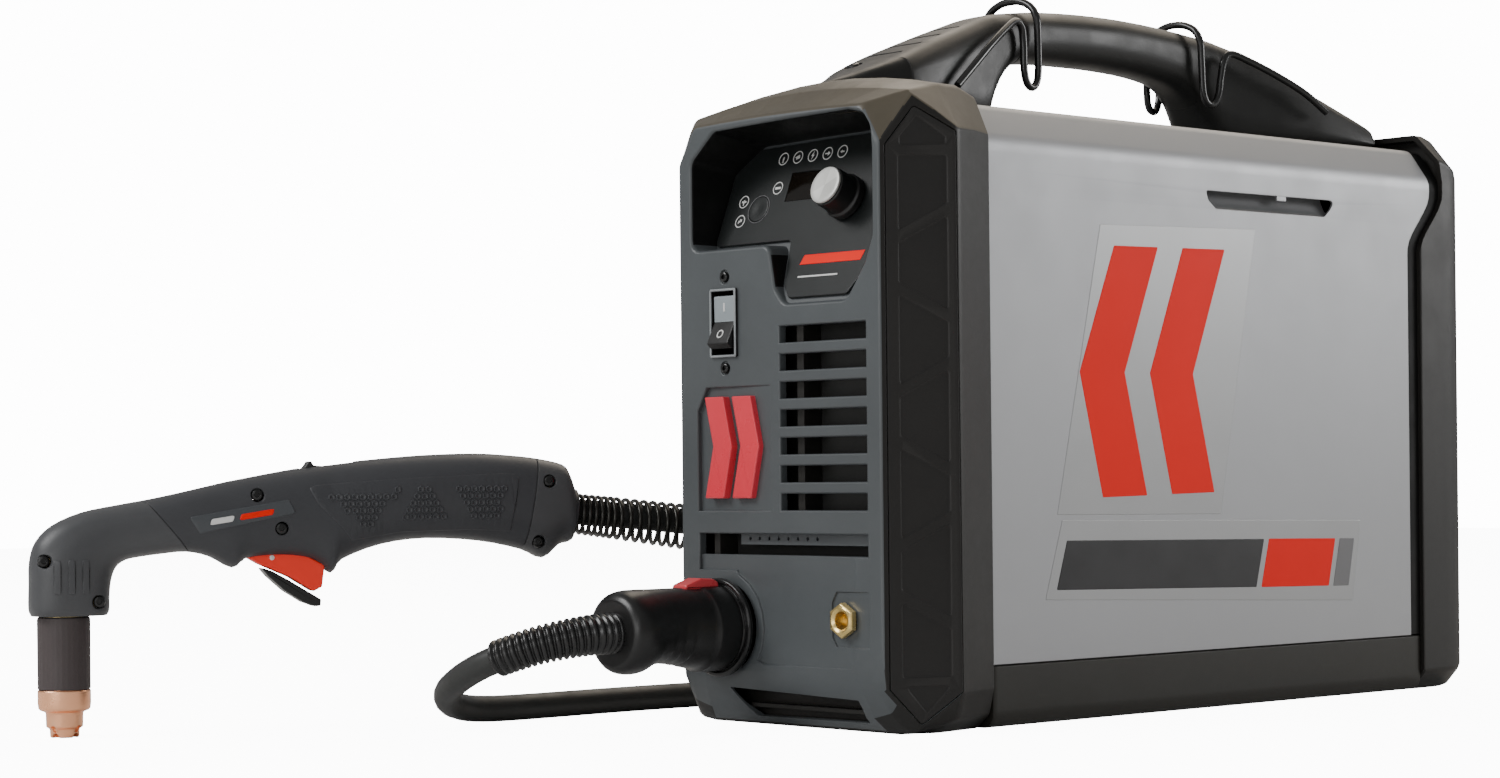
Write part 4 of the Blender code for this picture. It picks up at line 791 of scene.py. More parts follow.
def front_cap():
    """Front moulding with its flared sides, tilted control recess, vents and sockets."""
    cap = loft("front_moulding", [cap_ring(row) for row in CAP_STATIONS], angle=28.0)
    cut(cap, cap_hollow())
    carve(cap, "UNION", recess_solid("recess_walls", 2.5, [(-217.5, 0.0, 5.0), (-212.5, 0.0, 0.0)], 2.5))
    rim = [(-223.0, 2.0, 0.0), (-221.0, 1.9, 0.0), (-220.6, 1.0, 0.0), (-219.8, 0.35, 0.0),
           (-218.6, 0.0, 0.0)]
    cutters = [mouth("vent", outline, 9.0) for outline in VENTS]
    cutters.append(mouth("slot", WIDE_SLOT, 9.0))
    x, z = ROCKER_AT
    cutters.append(mouth("rocker", rectangle(x - 8.5, x + 8.5, z - 15.7, z + 15.7), 9.0, 0.3))
    cutters.append(mouth("socket", circle(SOCKET_AT, 21.5, 64), 9.0, 0.5))
    cutters.append(mouth("work", circle(WORK_AT, 6.6), 9.0, 0.3))
    cut(cap, recess_solid("recess_pocket", 0.0, rim, 0.0), gathered("openings", cutters))
    fields = [ramp_pocket("badge_pocket", BADGE_POCKET, 2.6, -57.0, -4.6),
              ramp_pocket("lower_field", lower_panel_outline(), 1.8, -57.0, 54.0, 0.35)]
    cut(cap, *fields)
    ring = [mouth("screw_ring", circle((x, z + lift), 3.4), 0.9, 0.3) for lift in (22.2, -21.8)]
    x, z = WORK_AT
    well = [(x - 6.5, z - 12.5), (x + 15.5, z - 12.5), (x + 15.5, z + 13.0), (x - 6.5, z + 13.0),
            (x - 9.5, z + 8.0), (x - 9.5, z - 8.0)]
    cut(cap, *ring, ramp_pocket("work_pocket", well, 1.3, x - 9.5, x + 16.5, 0.3))
    scoop = [(-36.0, 17.5), (49.0, 15.0), (52.0, 5.0), (-26.0, 4.5)]
    cut(cap, loft("scoop", stack(scoop, "Y", [(-223.0, 1.2), (-216.0, 0.9), (-214.0, 0.0), (-205.0, -0.8)])))
    cut(cap, *panel_holes(7.2, 12.0, 40))
    for side in (1, -1):
        steps = ((1.0, 1.0), (1.0, -0.1), (1.25, -0.5), (1.25, -1.5))
        pocket = loft("bumper_pocket", [on_flare(bumper_outline(inset), out) for inset, out in steps])
        if side < 0:
            pocket = swap_sides(pocket)
        cut(cap, pocket, angle=28.0)
    keep(cap, "cap", ["front_cap"])
    # Painted reflection: the cap's upward faces near its top are tinted warm brown.
    zone(cap, "cap_painted_warm_sheen", lambda c, n: n.z > 0.3 and c.z > 270)
    # Painted shade: the flared sides and the band behind the front face take the darker copy of the same
    # plastic.
    zone(cap, "cap_dark_and_shaded", lambda c, n: (abs(c.x) > 69.6 or c.y > -212) and n.z < 0.3)
    # Painted shade: the walls of the control recess are darkened to near black.
    recess_edge = grown(CONTROL_OUTLINE, 2.6)
    zone(cap, "pocket", lambda c, n: 201 < c.z < 289.4 and c.y > -219.9 and abs(c.x) < 64.6 and n.z < 0.3
         and within((c.x, c.z), recess_edge))
    for side, name in ((1, "bumper_right"), (-1, "bumper_left")):
        pad = bumper(name)
        keep(pad if side > 0 else swap_sides(pad), "bumper")


def behind_vents():
    """What shows through the vents: a dark baffle, upright ribs, a stop at the right, and the drilled bar."""
    keep(box("vent_baffle", (-60.0, -205.0, 78.0), (66.0, -204.0, 197.0)), "baffle")
    keep(box("chin_baffle", (-58.0, -205.0, 4.0), (60.0, -204.0, 26.0)), "cap_dark_and_shaded")
    ribs = gathered("vent_ribs", [
        box("rib", (9.5, -216.5, 98.0), (14.0, -205.2, 197.0)),
        box("stop", (57.2, -217.4, 98.0), (59.0, -214.4, 197.0)),
        box("slot_rib", (-50.5, -216.5, 79.0), (-46.5, -205.2, 96.0)),
    ])
    keep(ribs, "cap_dark_and_shaded")
    bar = box("drilled_bar", (-33.0, -214.8, 87.2), (60.5, -212.0, 96.0))
    holes = [prism("drill", circle((-26.5 + 6.7 * i, 90.2), 0.9, 16), "Y", -216.0, -210.0) for i in range(8)]
    keep(cut(bar, gathered("drills", holes)), "cap")
    lip = box("chin_bar", (-30.0, -211.5, 9.0), (48.0, -205.4, 11.0))
    keep(lip, "cap_dark_and_shaded")


# ---------------------------------------------------------------- controls
def panel_holes(button_radius, depth, count):
    """Cutters through the panel for the knob's shaft and the mode button."""
    holes = []
    for at, radius in ((KNOB_AT, 4.0), (BUTTON_AT, button_radius)):
        hole = turned("hole", [(0, -depth), (radius, -depth), (radius, 6), (0, 6)], count)
        holes.append(placed(hole, panel_point(at), PANEL_NORMAL))
    return holes


def on_panel(name, outline, steps):
    """A solid lying on the panel: the outline at each (distance out, growth)."""
    return loft(name, [[panel_point(p, out) for p in grown(outline, growth)] for out, growth in steps])


def control_panel():
    """The printed overlay with its display window, ring marks and a plain red bar."""
    outline = [(x, receding(z)) for x, z in rounded(grown(CONTROL_OUTLINE, -2.0), 3.0, 4)]

    def level(points, out):
        return [panel_point((x * 0.985, z), out) for x, z in points]

    plate = loft("panel_overlay", [level(grown(outline, growth), out)
                                   for growth, out in ((0.0, 0.4), (0.0, 1.2), (-0.15, 1.45), (-0.5, 1.6))])
    window = on_panel("window", rectangle(-15.6, 9.2, 251.5, 265.7), [(-2.0, 0.0), (6.0, 0.0)])
    keep(cut(plate, *panel_holes(7.3, 4.0, 48), window), "panel", ["control_panel"])
    pane = on_panel("display_pane", rectangle(-15.4, 9.0, 251.7, 265.5),
                    [(0.4, 0.0), (1.2, 0.0), (1.35, -0.3)])
    keep(pane, "glass", ["display_window"])
    panel_marks()


def ink_on_panel(name, outline):
    return on_panel(name, outline, [(1.58, 0.0), (1.72, 0.0)])


def ring_on_panel(name, at, outer, inner):
    """A thin flat ring lying on the panel."""
    ring = turned(name, [(inner, 1.55), (outer, 1.55), (outer, 1.72), (inner, 1.72)], 40, loop=True)
    return placed(ring, panel_point(at), PANEL_NORMAL)


def turned_outline(points, at, angle=0.0, size=1.0):
    c, s = math.cos(math.radians(angle)), math.sin(math.radians(angle))
    return [(at[0] + size * (x * c - z * s), at[1] + size * (x * s + z * c)) for x, z in points]


def panel_marks():
    """Ring marks with plain glyphs (drop, bolt, arrow, bar and stem), a red stripe and a fine line."""
    drop = [(0, 2.2), (1.0, 0.2), (0.7, -1.2), (0, -1.6), (-0.7, -1.2), (-1.0, 0.2)]
    bolt = [(0.6, 2.2), (-1.1, -0.2), (-0.1, -0.2), (-0.6, -2.2), (1.1, 0.3), (0.1, 0.3)]
    arrow = [(-1.9, -0.35), (0.3, -0.35), (0.3, -1.3), (2.0, 0.0), (0.3, 1.3), (0.3, 0.35), (-1.9, 0.35)]
    bar = rectangle(-1.9, 1.9, -0.55, 0.55)
    stem = rectangle(-0.4, 0.4, -2.0, 1.0)
    glyphs = [((-24.6, 273.3), [(stem, 0, 1), (drop, 180, 0.6)]),
              ((-14.4, 273.3), [(drop, 90, 0.9), (bar, 45, 0.7)]),
              ((-4.0, 273.3), [(bolt, 0, 1)]),
              ((6.3, 273.4), [(arrow, 0, 0.9)]),
              ((16.5, 273.5), [(arrow, 180, 0.7), (bar, 0, 0.7)]),
              ((-22.9, 258.7), [(bar, 0, 1)]),
              ((-45.2, 253.5), [(stem, 0, 0.9), (bar, 0, 0.8)]),
              ((-44.2, 243.8), [(arrow, 35, 0.8), (bar, 0, 0.6)])]
    pieces = []
    for at, shapes in glyphs:
        pieces.append(ring_on_panel("ring", at, 3.35, 2.85))
        for points, angle, size in shapes:
            pieces.append(ink_on_panel("glyph", turned_outline(points, at, angle, size)))
    keep(gathered("panel_glyphs", pieces), "ink")
    keep(ring_on_panel("button_outline", BUTTON_AT, 7.35, 7.0), "grey_film")
    slant = 1.8
    stripe = [(8.0, 219.2), (49.0, 219.2), (49.0 + slant, 223.8), (8.0 + slant, 223.8)]
    keep(ink_on_panel("panel_stripe", stripe), "red_film")
    keep(ink_on_panel("panel_line", rectangle(9.0, 36.0, 212.9, 213.7)), "ink")


def knob():
    """Stepped black knob with finely fluted sides, and its satin cap."""
    count = 96

    def fluted(radius, height, depth):
        ring = []
        for i in range(count):
            reach, angle = radius - depth * (i % 2), 2 * math.pi * i / count
            ring.append((reach * math.cos(angle), reach * math.sin(angle), height))
        return ring

    rows = [(3.4, -6.0, 0), (3.4, 2.2, 0), (10.6, 2.2, 0), (11.2, 2.7, 0), (11.2, 5.4, 0), (10.9, 5.9, 0),
            (10.2, 6.4, 0), (10.0, 7.0, 0.15), (9.85, 15.4, 0.15), (9.6, 16.1, 0), (9.1, 16.4, 0)]
    body = loft("knob_body", [fluted(*row) for row in rows], angle=50)
    placed(body, panel_point(KNOB_AT), PANEL_NORMAL)
    keep(body, "black", ["adjustment_knob"], "adjustment_knob")
    profile = [(0.01, 16.6), (8.6, 16.6), (9.2, 16.9), (9.3, 17.4), (9.1, 17.9), (8.5, 18.15), (7.0, 18.05),
               (0.01, 17.9)]
    face = placed(turned("knob_cap", profile, 64), panel_point(KNOB_AT), PANEL_NORMAL)
    keep(face, "knob_face", ["knob_face"], "adjustment_knob")


def mode_button():
    profile = [(0.01, -3.6), (6.8, -3.6), (6.8, 1.5), (6.6, 1.85), (6.2, 2.0), (3.0, 1.85), (0.01, 1.75)]
    button = placed(turned("button_cap", profile, 56), panel_point(BUTTON_AT), PANEL_NORMAL)
    keep(button, "panel", ["mode_button"], "mode_button")


def rocker_switch():
    """Frame with a pale front lip, which is a painted edge highlight, and a black body, and the rocker with a
    bar on its upper half and a ring on its lower half.
    """
    x, z = ROCKER_AT
    outer = rounded(rectangle(x - 9.4, x + 9.4, z - 16.6, z + 16.6), 0.8, 3)
    inner = rounded(rectangle(x - 7.9, x + 7.9, z - 15.1, z + 15.1), 0.6, 3)
    rings = stack(outer, "Y", [(FRONT - 0.4, 0.0), (FRONT - 1.3, 0.0), (FRONT - 1.7, -0.3),
                               (FRONT - 1.7, -1.0), (FRONT - 1.2, -1.3), (FRONT + 18.0, -1.3)])
    frame_ring = loft("rocker_frame", rings + [spread(inner, "Y", FRONT + 18.0)], ends=False, loop=True)
    # Painted highlight: the frame's front lip is pale grey and the rest of it black.
    keep(frame_ring, "bezel", ["rocker_bezel"])
    zone(frame_ring, "black", lambda c, n: c.y > FRONT - 1.1)
    tilt = math.radians(-12)
    pivot = Vector((x, FRONT + 4.0, z))
    profile = [(-7.0, 11.8), (-4.2, 0.0), (-7.0, -11.8), (-3.5, -13.6), (6.0, -7.5), (7.8, 0.0), (6.0, 7.5),
               (-3.5, 13.6)]

    def leaning(points):
        c, s = math.cos(tilt), math.sin(tilt)
        return [(pivot.y + y * c - up * s, pivot.z + y * s + up * c) for y, up in points]

    outline = rounded(leaning(profile), 0.9, 4)
    rocker = slab("rocker_paddle", outline, "X", x, [(7.5, -0.5), (7.3, -0.1), (7.0, 0.0)])
    keep(rocker, "black", ["power_rocker"], "power_rocker")
    zone(rocker, "rocker_up", lambda c, n: n.y < -0.6 and c.z > pivot.z + 0.5)

    def face_point(across, up, out):
        """A place on the paddle's front: its two halves slope back to the pivot."""
        lean = (7.0 - 4.2) / 11.8
        y, lift = leaning([(-4.2 - lean * abs(up) - out, up)])[0]
        return (x + across, y, lift)

    def mark(points):
        return [[face_point(a, b, out) for a, b in points] for out in (-0.1, 0.12)]

    bar = loft("bar", mark(rectangle(-0.5, 0.5, 4.6, 8.6)))
    ring = [mark(turned_outline(circle((0, 0), r, 24), (0, -6.6))) for r in (2.2, 1.5)]
    loop_rings = [ring[0][0], ring[0][1], ring[1][1], ring[1][0]]
    keep(gathered("rocker_marks", [bar, loft("loop", loop_rings, loop=True)]), "ink", (),
         "power_rocker")


def socket_screw(name, place, direction, radius=2.7, height=1.5):
    """A button head with a hexagonal socket."""
    profile = [(0.01, 0.0), (radius, 0.0), (radius, height * 0.45), (radius * 0.9, height * 0.8),
               (radius * 0.62, height), (0.01, height)]
    head = turned(name, profile, 32)
    cut(head, turned("hex", [(0.01, height * 0.3), (radius * 0.45, height * 0.3), (radius * 0.45, height + 1),
                             (0.01, height + 1)], 6))
    return placed(head, place, direction)


def switch_screws():
    x, z = ROCKER_AT
    for name, node, lift in (("screw_head_upper", "switch_screw_upper", 22.2),
                             ("screw_head_lower", "switch_screw_lower", -21.8)):
        screw = socket_screw(name, (x, FRONT + 0.9, z + lift), (0, -1, 0), 2.6, 1.9)
        keep(screw, "gloss_black", [node])


def emblem():
    """Two plain raised chevrons side by side."""
    pieces = []
    for left in (-49.0, -29.5):
        outline = [(left, 109.5), (left + 13.5, 109.5), (left + 19.5, 134.5), (left + 13.5, 158.5),
                   (left, 158.5), (left + 6.0, 134.5)]
        pieces.append(pillow("chevron", rounded(outline, 0.8, 3), "Y", FRONT + 1.6, FRONT - 2.8, 0.7))
    keep(gathered("emblem_chevrons", pieces), "emblem", ["badge_emblem"])


# ---------------------------------------------------------------- sockets
def sockets():
    """Torch receptacle, the brass work socket and their rings."""
    profile = [(12.0, -40), (20.5, -40), (20.5, 3.0), (23.2, 3.2), (23.8, 3.8), (23.8, 5.4), (23.2, 6.1),
               (22.0, 6.4), (21.2, 5.6), (20.6, 5.4), (20.2, 6.4), (19.6, 6.8), (19.3, 6.2), (19.3, -30),
               (12.0, -30)]
    ring = turned("socket_body", profile, 72, loop=True)
    placed(ring, (SOCKET_AT[0], FRONT, SOCKET_AT[1]), (0, -1, 0))
    keep(ring, "gloss_black", ["torch_socket"])
    hexagon = []
    corner = math.pi / 6
    for radius, height in ((6.2, -18.0), (6.2, 0.0), (7.6, 0.3), (8.3, 0.8), (8.3, 3.4), (7.6, 4.1),
                           (5.9, 4.4), (5.0, 4.1), (4.2, 3.4), (4.0, -10.0)):
        row = []
        for i in range(48):
            angle = 2 * math.pi * i / 48
            reach = radius
            if radius > 6.4:
                reach = radius * math.cos(corner) / math.cos((angle + corner) % (2 * corner) - corner)
                reach = min(reach, 8.9)
            row.append((reach * math.cos(angle), reach * math.sin(angle), height))
        hexagon.append(row)
    socket = loft("work_socket", hexagon, ends=False, loop=True, angle=28)
    placed(socket, (WORK_AT[0], FRONT + 0.4, WORK_AT[1]), (0, -1, 0))
    keep(socket, "brass", ["work_lead_socket"])
    profile = [(0.01, -9.0), (3.95, -9.0), (3.95, -6.0), (2.2, -5.0), (0.01, -5.0)]
    pin = turned("work_socket_floor", profile, 32)
    keep(placed(pin, (WORK_AT[0], FRONT, WORK_AT[1]), (0, -1, 0)), "brass")


# ---------------------------------------------------------------- cover, seal, base and rear
def cover_rear(z):
    """The cover's rear edge: straight below, a soft step back under the rear cap, then along the fold."""
    t = min(1.0, max(0.0, (z - 238.0) / 33.0))
    edge = COVER_REAR + (COVER_REAR_HIGH - COVER_REAR) * t * t * (3 - 2 * t)
    return edge - max(0.0, z - BEND) * 0.25


def cover_line(inset, low):
    """Half of the cover's section, from the right lower edge up, with both folds rounded."""
    half, roof, top = COVER_HALF - inset, ROOF_HALF - inset * 0.6, ROOF - inset
    line = [(half, low + (236.0 - low) * k / 6) for k in range(7)]
    line += [(half, z) for z in (240.0, 244.0, 248.0, 252.0, 256.0, 260.0, 264.0, 268.0, 271.5)]

    def arc(start, corner, end, steps):
        for k in range(steps + 1):
            t = k / steps
            yield tuple((1 - t) ** 2 * a + 2 * t * (1 - t) * b + t * t * c
                        for a, b, c in zip(start, corner, end))

    bend = (half, BEND - inset * 0.3)
    line += list(arc((half, bend[1] - 4.5), bend, (half - 2.2, bend[1] + 4.0), 5))
    line += [(half - 5.0, bend[1] + 9.1)]
    line += list(arc((roof + 1.7, top - 3.1), (roof, top), (roof - 3.6, top), 5))
    return line


def sheet(name, outer, inner, front, rear):
    """A bent sheet between two sections; front and rear give its ends' places at each height."""
    rings = []
    for (x1, z1), (x2, z2) in zip(outer, inner):
        rings.append([(x1, front(z1), z1), (x1, rear(z1), z1), (x2, rear(z1), z2), (x2, front(z1), z2)])
    return loft(name, rings, angle=30)


def both_sides(line):
    return line + [(-x, z) for x, z in reversed(line)]


def side_cover():
    """Painted sheet, with a pressed louvre and printed films on each side."""
    low = RAIL + 0.3
    cover = sheet("cover_sheet", both_sides(cover_line(0.0, low)), both_sides(cover_line(1.2, low)),
                  lambda z: COVER_FRONT, cover_rear)
    slot = rounded([(4.9, 262.0), (107.2, 262.3), (109.7, 261.1), (107.1, 257.3), (101.9, 253.3),
                    (12.8, 252.9), (6.5, 257.2)], 1.2, 3)
    cut(cover, prism("slot_cut", slot, "X", -90.0, 90.0))
    keep(cover, "silver", ["side_cover"])
    tab = rectangle(62.4, 69.9, 259.8, 264.0)
    lower = [(0.0, 253.0), (0.6, 253.6), (2.4, 254.7), (4.6, 257.2), (6.4, 261.0), (7.2, 263.4)]
    thick = [(depth + 0.7, z - 0.9) for depth, z in lower]
    lips, tabs, backs = [], [], []
    for way in (1, -1):
        strip = [(way * (COVER_HALF - 0.4 - depth), z) for depth, z in lower + thick[::-1]]
        lips.append(prism("lip", strip, "Y", 6.5, 108.0))
        tabs.append(prism("tab", tab, "X", way * (COVER_HALF - 1.1), way * (COVER_HALF - 0.1)))
        near, far = sorted((way * 62.0, way * 66.0))
        backs.append(box("slot_back", (near, 2.0, 250.0), (far, 112.0, 268.0)))
    keep(gathered("louvre_lips", lips), "silver")
    keep(gathered("louvre_tabs", tabs), "silver")
    # Painted shade: near-black boxes behind the louvre slots make the slots dark.
    keep(gathered("louvre_backs", backs), "shade_backing")
    films()


def film(name, outline, height, way):
    """A thin printed film on the cover's side, with softened edges."""
    base = way * COVER_HALF
    steps = [(base - way * 0.02, 0.0), (base + way * height * 0.6, 0.0), (base + way * height, -height)]
    return loft(name, stack(rounded(outline, 0.6, 2), "X", steps))


def films():
    """Plain printed bands: a double chevron over a faint field, and a slanted three-colour strip below."""
    field = [(-76.0, 241.0), (44.0, 244.0), (14.0, 98.5), (-109.0, 100.0)]
    outer = [(-66.0, 231.0), (-33.0, 231.6), (-59.0, 169.0), (-43.0, 108.6), (-76.0, 108.0), (-92.0, 169.0)]
    inner = [(-14.0, 232.0), (19.0, 232.6), (-7.0, 169.0), (9.0, 109.6), (-24.0, 109.0), (-40.0, 169.0)]
    strip = [(-118.0, 59.5), (-105.6, 97.5), (130.4, 93.4), (122.7, 51.0)]
    dark = [(-110.0, 64.0), (-102.4, 87.6), (48.6, 85.2), (42.0, 60.6)]
    red = [(46.0, 60.4), (52.6, 85.2), (108.4, 84.2), (102.4, 59.4)]
    grey = [(106.2, 59.2), (112.2, 84.2), (124.8, 84.0), (119.6, 59.0)]
    groups = {"field": ([field, strip], 0.10, "clear_film"),
              "red_bands": ([outer, inner, red], 0.22, "red_film"),
              "dark_band": ([dark], 0.22, "dark_film"), "grey_band": ([grey], 0.22, "grey_film")}
    for name, (outlines, height, finish) in groups.items():
        pieces = [film(name, outline, height, way) for outline in outlines for way in (1, -1)]
        keep(gathered("cover_" + name, pieces), finish)


def rear_seal():
    """Dark rubber lip in the step between the cover and the rear cap."""
    low = RAIL + 0.5
    seal = sheet("seal_lip", both_sides(cover_line(0.7, low)), both_sides(cover_line(3.0, low)),
                 lambda z: cover_rear(z) + 0.3, lambda z: cover_rear(z) + 9.4)
    keep(seal, "seal", ["rear_seal"])


def base_rail():
    """The dark rails below the cover, with a rounded lower edge, and the flat pan between them."""
    half = COVER_HALF - 0.1
    right = [(half - 9.0, 0.0), (half - 4.2, 0.6), (half - 1.6, 2.4), (half - 0.3, 5.6), (half, 9.0),
             (half, 29.2), (half - 0.7, 29.9), (half - 2.4, 29.9), (half - 3.0, 9.0), (half - 9.0, 2.4)]
    outline = both_sides(right)
    rings = []
    for y, lift, tuck in ((COVER_FRONT + 0.2, 1.2, 0.5), (COVER_FRONT + 1.2, 0.2, 0.0),
                          (COVER_FRONT + 3.0, 0.0, 0.0), (COVER_REAR - 3.0, 0.0, 0.0),
                          (COVER_REAR + 4.0, 0.0, 0.0), (COVER_REAR + 8.7, 1.0, 0.4)):
        rings.append([(x - math.copysign(tuck, x), y, max(z, lift if z < 10 else z)) for x, z in outline])
    rail = loft("base_rails", rings, angle=30)
    keep(rail, "rail", ["base_pan"])


REAR_STATIONS = [
    # y, half width, shoulder height, roof half width, roof height, heel height
    (184.3, 77.6, 288.2, 64.7, 303.6, 0.6), (185.2, 78.0, 288.5, 65.0, 304.0, 0.0),
    (205.0, 78.0, 288.5, 65.0, 304.0, 0.0), (212.0, 77.8, 286.8, 64.7, 302.2, 0.2),
    (217.5, 77.0, 284.2, 63.8, 298.4, 0.8), (220.2, 75.8, 281.4, 62.8, 294.4, 2.0),
    (221.0, 74.4, 279.4, 61.6, 291.6, 3.4),
]


def rear_ring(row, inset=0.0, soft=5.0):
    y, half, shoulder, roof, top, heel = row
    outline = both_sides([(half - 9.0, heel), (half, heel + 10.0), (half, shoulder), (roof, top)])
    if inset:
        outline = grown(outline, -inset)
    return spread(rounded(outline, soft, 5), "Y", y)


GLAND_AT = (36.0, 50.0)
INLET_AT = (-36.0, 50.0)


def rear_cap():
    """Rear moulding with a rounded rim, a recessed back and slots."""
    cap = loft("rear_moulding", [rear_ring(row) for row in REAR_STATIONS], angle=28)
    hollow = loft("rear_hollow", [rear_ring((170.0, *REAR_STATIONS[1][1:]), 3.0, 3.0),
                                  rear_ring((205.5, *REAR_STATIONS[2][1:]), 3.0, 3.0)])
    shoulder = [(cover_rear(z) + 9.3, z) for z in [238.0 + 3.3 * k for k in range(11)]]
    shoulder += [(COVER_REAR_HIGH + 9.3, BEND), (COVER_REAR_HIGH + 1.5, 312.0)]
    stepped = prism("rear_step", [(160.0, 238.0)] + shoulder + [(160.0, 312.0)], "X", -90.0, 90.0)
    cut(cap, hollow, stepped, angle=28)
    recess = rounded(rectangle(-60.0, 60.0, 22.0, 272.0), 6.0, 5)
    pocket = loft("rear_pocket", stack(recess, "Y", [(223.0, 1.6), (221.0, 1.4), (220.4, 0.5), (219.4, 0.0),
                                                     (209.4, -1.0), (209.0, -2.0)]))
    openings = [rounded(rectangle(-50.0, 50.0, 85.0 + 13.5 * i, 91.5 + 13.5 * i), 1.5, 3) for i in range(9)]
    openings += [circle(GLAND_AT, 10.4, 32), circle(INLET_AT, 7.9, 32)]
    slots = [prism("rear_slot", outline, "Y", 200.0, 225.0) for outline in openings]
    cut(cap, pocket, gathered("rear_slots", slots), angle=28)
    keep(cap, "cap_dark_and_shaded", ["rear_cap"])
    screws = []
    for x in (-54.0, 54.0):
        for z in (30.0, 150.0, 264.0):
            screws.append(socket_screw("rear_screw", (x, 208.9, z), (0, 1, 0), 3.2, 2.0))
    keep(gathered("rear_screws", screws), "steel")
    ribs = [box("grille_rib", (x - 0.9, 206.4, 84.0), (x + 0.9, 208.6, 201.0)) for x in (-25.0, 0.0, 25.0)]
    keep(gathered("grille_ribs", ribs), "cap_dark_and_shaded")
    gland = [(5.2, -12), (10.0, -12), (10.0, 0), (14.2, 0.2), (15.0, 0.8), (15.0, 4.6), (14.2, 5.2),
             (11.2, 5.6), (10.8, 6.4), (10.6, 11.0), (10.0, 11.6), (5.6, 11.6), (5.2, 11.0)]
    inlet = [(3.5, -22), (7.6, -22), (7.6, 0), (9.4, 0.2), (9.8, 0.8), (9.8, 5.6), (9.2, 6.2), (6.2, 6.5),
             (6.2, 7.6), (5.7, 8.0), (6.2, 8.4), (6.2, 10.0), (5.6, 11.2), (3.9, 11.5), (3.5, 11.0)]
    for name, profile, (x, z), finish, node in (("gland_body", gland, GLAND_AT, "black", "mains_gland"),
                                                ("air_inlet", inlet, INLET_AT, "brass", "air_inlet_fitting")):
        fitting = placed(turned(name, profile, 40, loop=True), (x, 209.5, z), (0, 1, 0))
        keep(fitting, finish, [node])


# ---------------------------------------------------------------- carrying handle
HANDLE_STATIONS = [
    # y, top, bottom, half width
    (-190.0, 308.2, 304.2, 3.0), (-189.0, 308.7, 304.2, 4.0), (-183.0, 311.2, 303.4, 9.0),
    (-175.0, 314.3, 303.0, 15.0), (-165.0, 318.2, 302.0, 22.0), (-154.7, 322.4, 298.6, 27.0),
    (-153.5, 322.9, 295.7, 28.5), (-140.0, 328.8, 295.4, 27.5), (-115.0, 338.6, 295.4, 24.5),
    (-95.0, 346.0, 295.6, 21.5), (-88.0, 348.5, 306.0, 20.0), (-79.0, 351.0, 318.0, 18.5),
    (-65.0, 353.2, 326.5, 16.0), (-45.0, 355.8, 329.5, 14.3), (-18.0, 357.6, 330.3, 14.0),
    (10.0, 358.2, 330.4, 14.0), (38.0, 357.6, 329.0, 14.0), (62.0, 356.0, 325.0, 14.5),
    (77.0, 354.5, 315.5, 15.5), (88.0, 352.8, 303.0, 17.8), (94.0, 351.2, 295.7, 19.5),
    (120.0, 343.0, 295.4, 28.0), (150.0, 329.8, 295.4, 37.0), (178.0, 317.2, 295.4, 43.5),
    (189.6, 311.9, 295.4, 44.9), (190.5, 311.4, 296.0, 44.4),
]


def squareness(half):
    """How square a handle section is: 0 on the slim grip, 1 on the wide saddles."""
    return min(1.0, max(0.0, (half - 14.0) / 8.0))


def handle_ring(row, swell=0.0, count=48):
    """A soft-cornered section: nearly square on the saddles and almost round on the grip."""
    y, top, bottom, half = row
    middle, height = (top + bottom) / 2, (top - bottom) / 2 + swell
    lean = squareness(half)
    power = 2.0 / (2.5 + 3.0 * lean)
    ring = []
    for i in range(count):
        angle = 2 * math.pi * (i + 0.5) / count
        c, s = math.cos(angle), math.sin(angle)
        x = math.copysign(abs(c) ** power, c) * (half + swell)
        z = math.copysign(abs(s) ** power, s) * height
        taper = 1.0 - 0.16 * lean * max(0.0, z / max(height, 1.0))
        ring.append((x * taper, y, middle + z))
    return ring


def handle_seam(rows, edge, way):
    """A full section at a seam, and one just past it that is drawn in."""
    near = min(rows, key=lambda r: abs(r[0] - edge))[1:]
    return [handle_ring([edge] + near), handle_ring([edge + way * 0.25] + near, -0.3)]


def handle():
    """Two saddles and the grip between them, parted by fine seams."""
    end = list(HANDLE_STATIONS[-1])
    # The curve swings past its last station, and those rows are left out
    rows = [r for r in between(HANDLE_STATIONS, 3) if r[0] < end[0]] + [end]
    first, last = rows[0][0] - 1.0, end[0] + 1.0
    spans = [("handle_front", first, -65.3, "handle_front_leg"), ("handle_bar", -64.9, 76.7, "handle_grip"),
             ("handle_rear", 77.1, last, "handle_rear_leg")]
    for name, low, high, node in spans:
        body = [handle_ring(r) for r in rows if low + 0.6 < r[0] < high - 0.6]
        if low > first:
            body = handle_seam(rows, low, -1)[::-1] + body
        if high < last:
            body += handle_seam(rows, high, 1)
        piece = loft(name, body, angle=50)
        if low == first:
            cut(piece, *handle_cuts(), angle=50)
        keep(piece, "handle", [node])
    screw = socket_screw("handle_screw", (-8.0, -160.5, 319.2), (0, -0.38, 0.92), 3.4, 1.8)
    keep(screw, "gloss_black")


def handle_top(x, y):
    """Height of the handle's upper surface."""
    for (y1, *low), (y2, *high) in zip(HANDLE_STATIONS, HANDLE_STATIONS[1:]):
        if y1 <= y <= y2:
            top, bottom, half = [a + (b - a) * (y - y1) / (y2 - y1) for a, b in zip(low, high)]
    lean = squareness(half)
    power = 2.5 + 3.0 * lean
    share = min(1.0, abs(x) / (half * (1 - 0.16 * lean)))
    return (top + bottom) / 2 + (top - bottom) / 2 * (1 - share ** power) ** (1 / power)


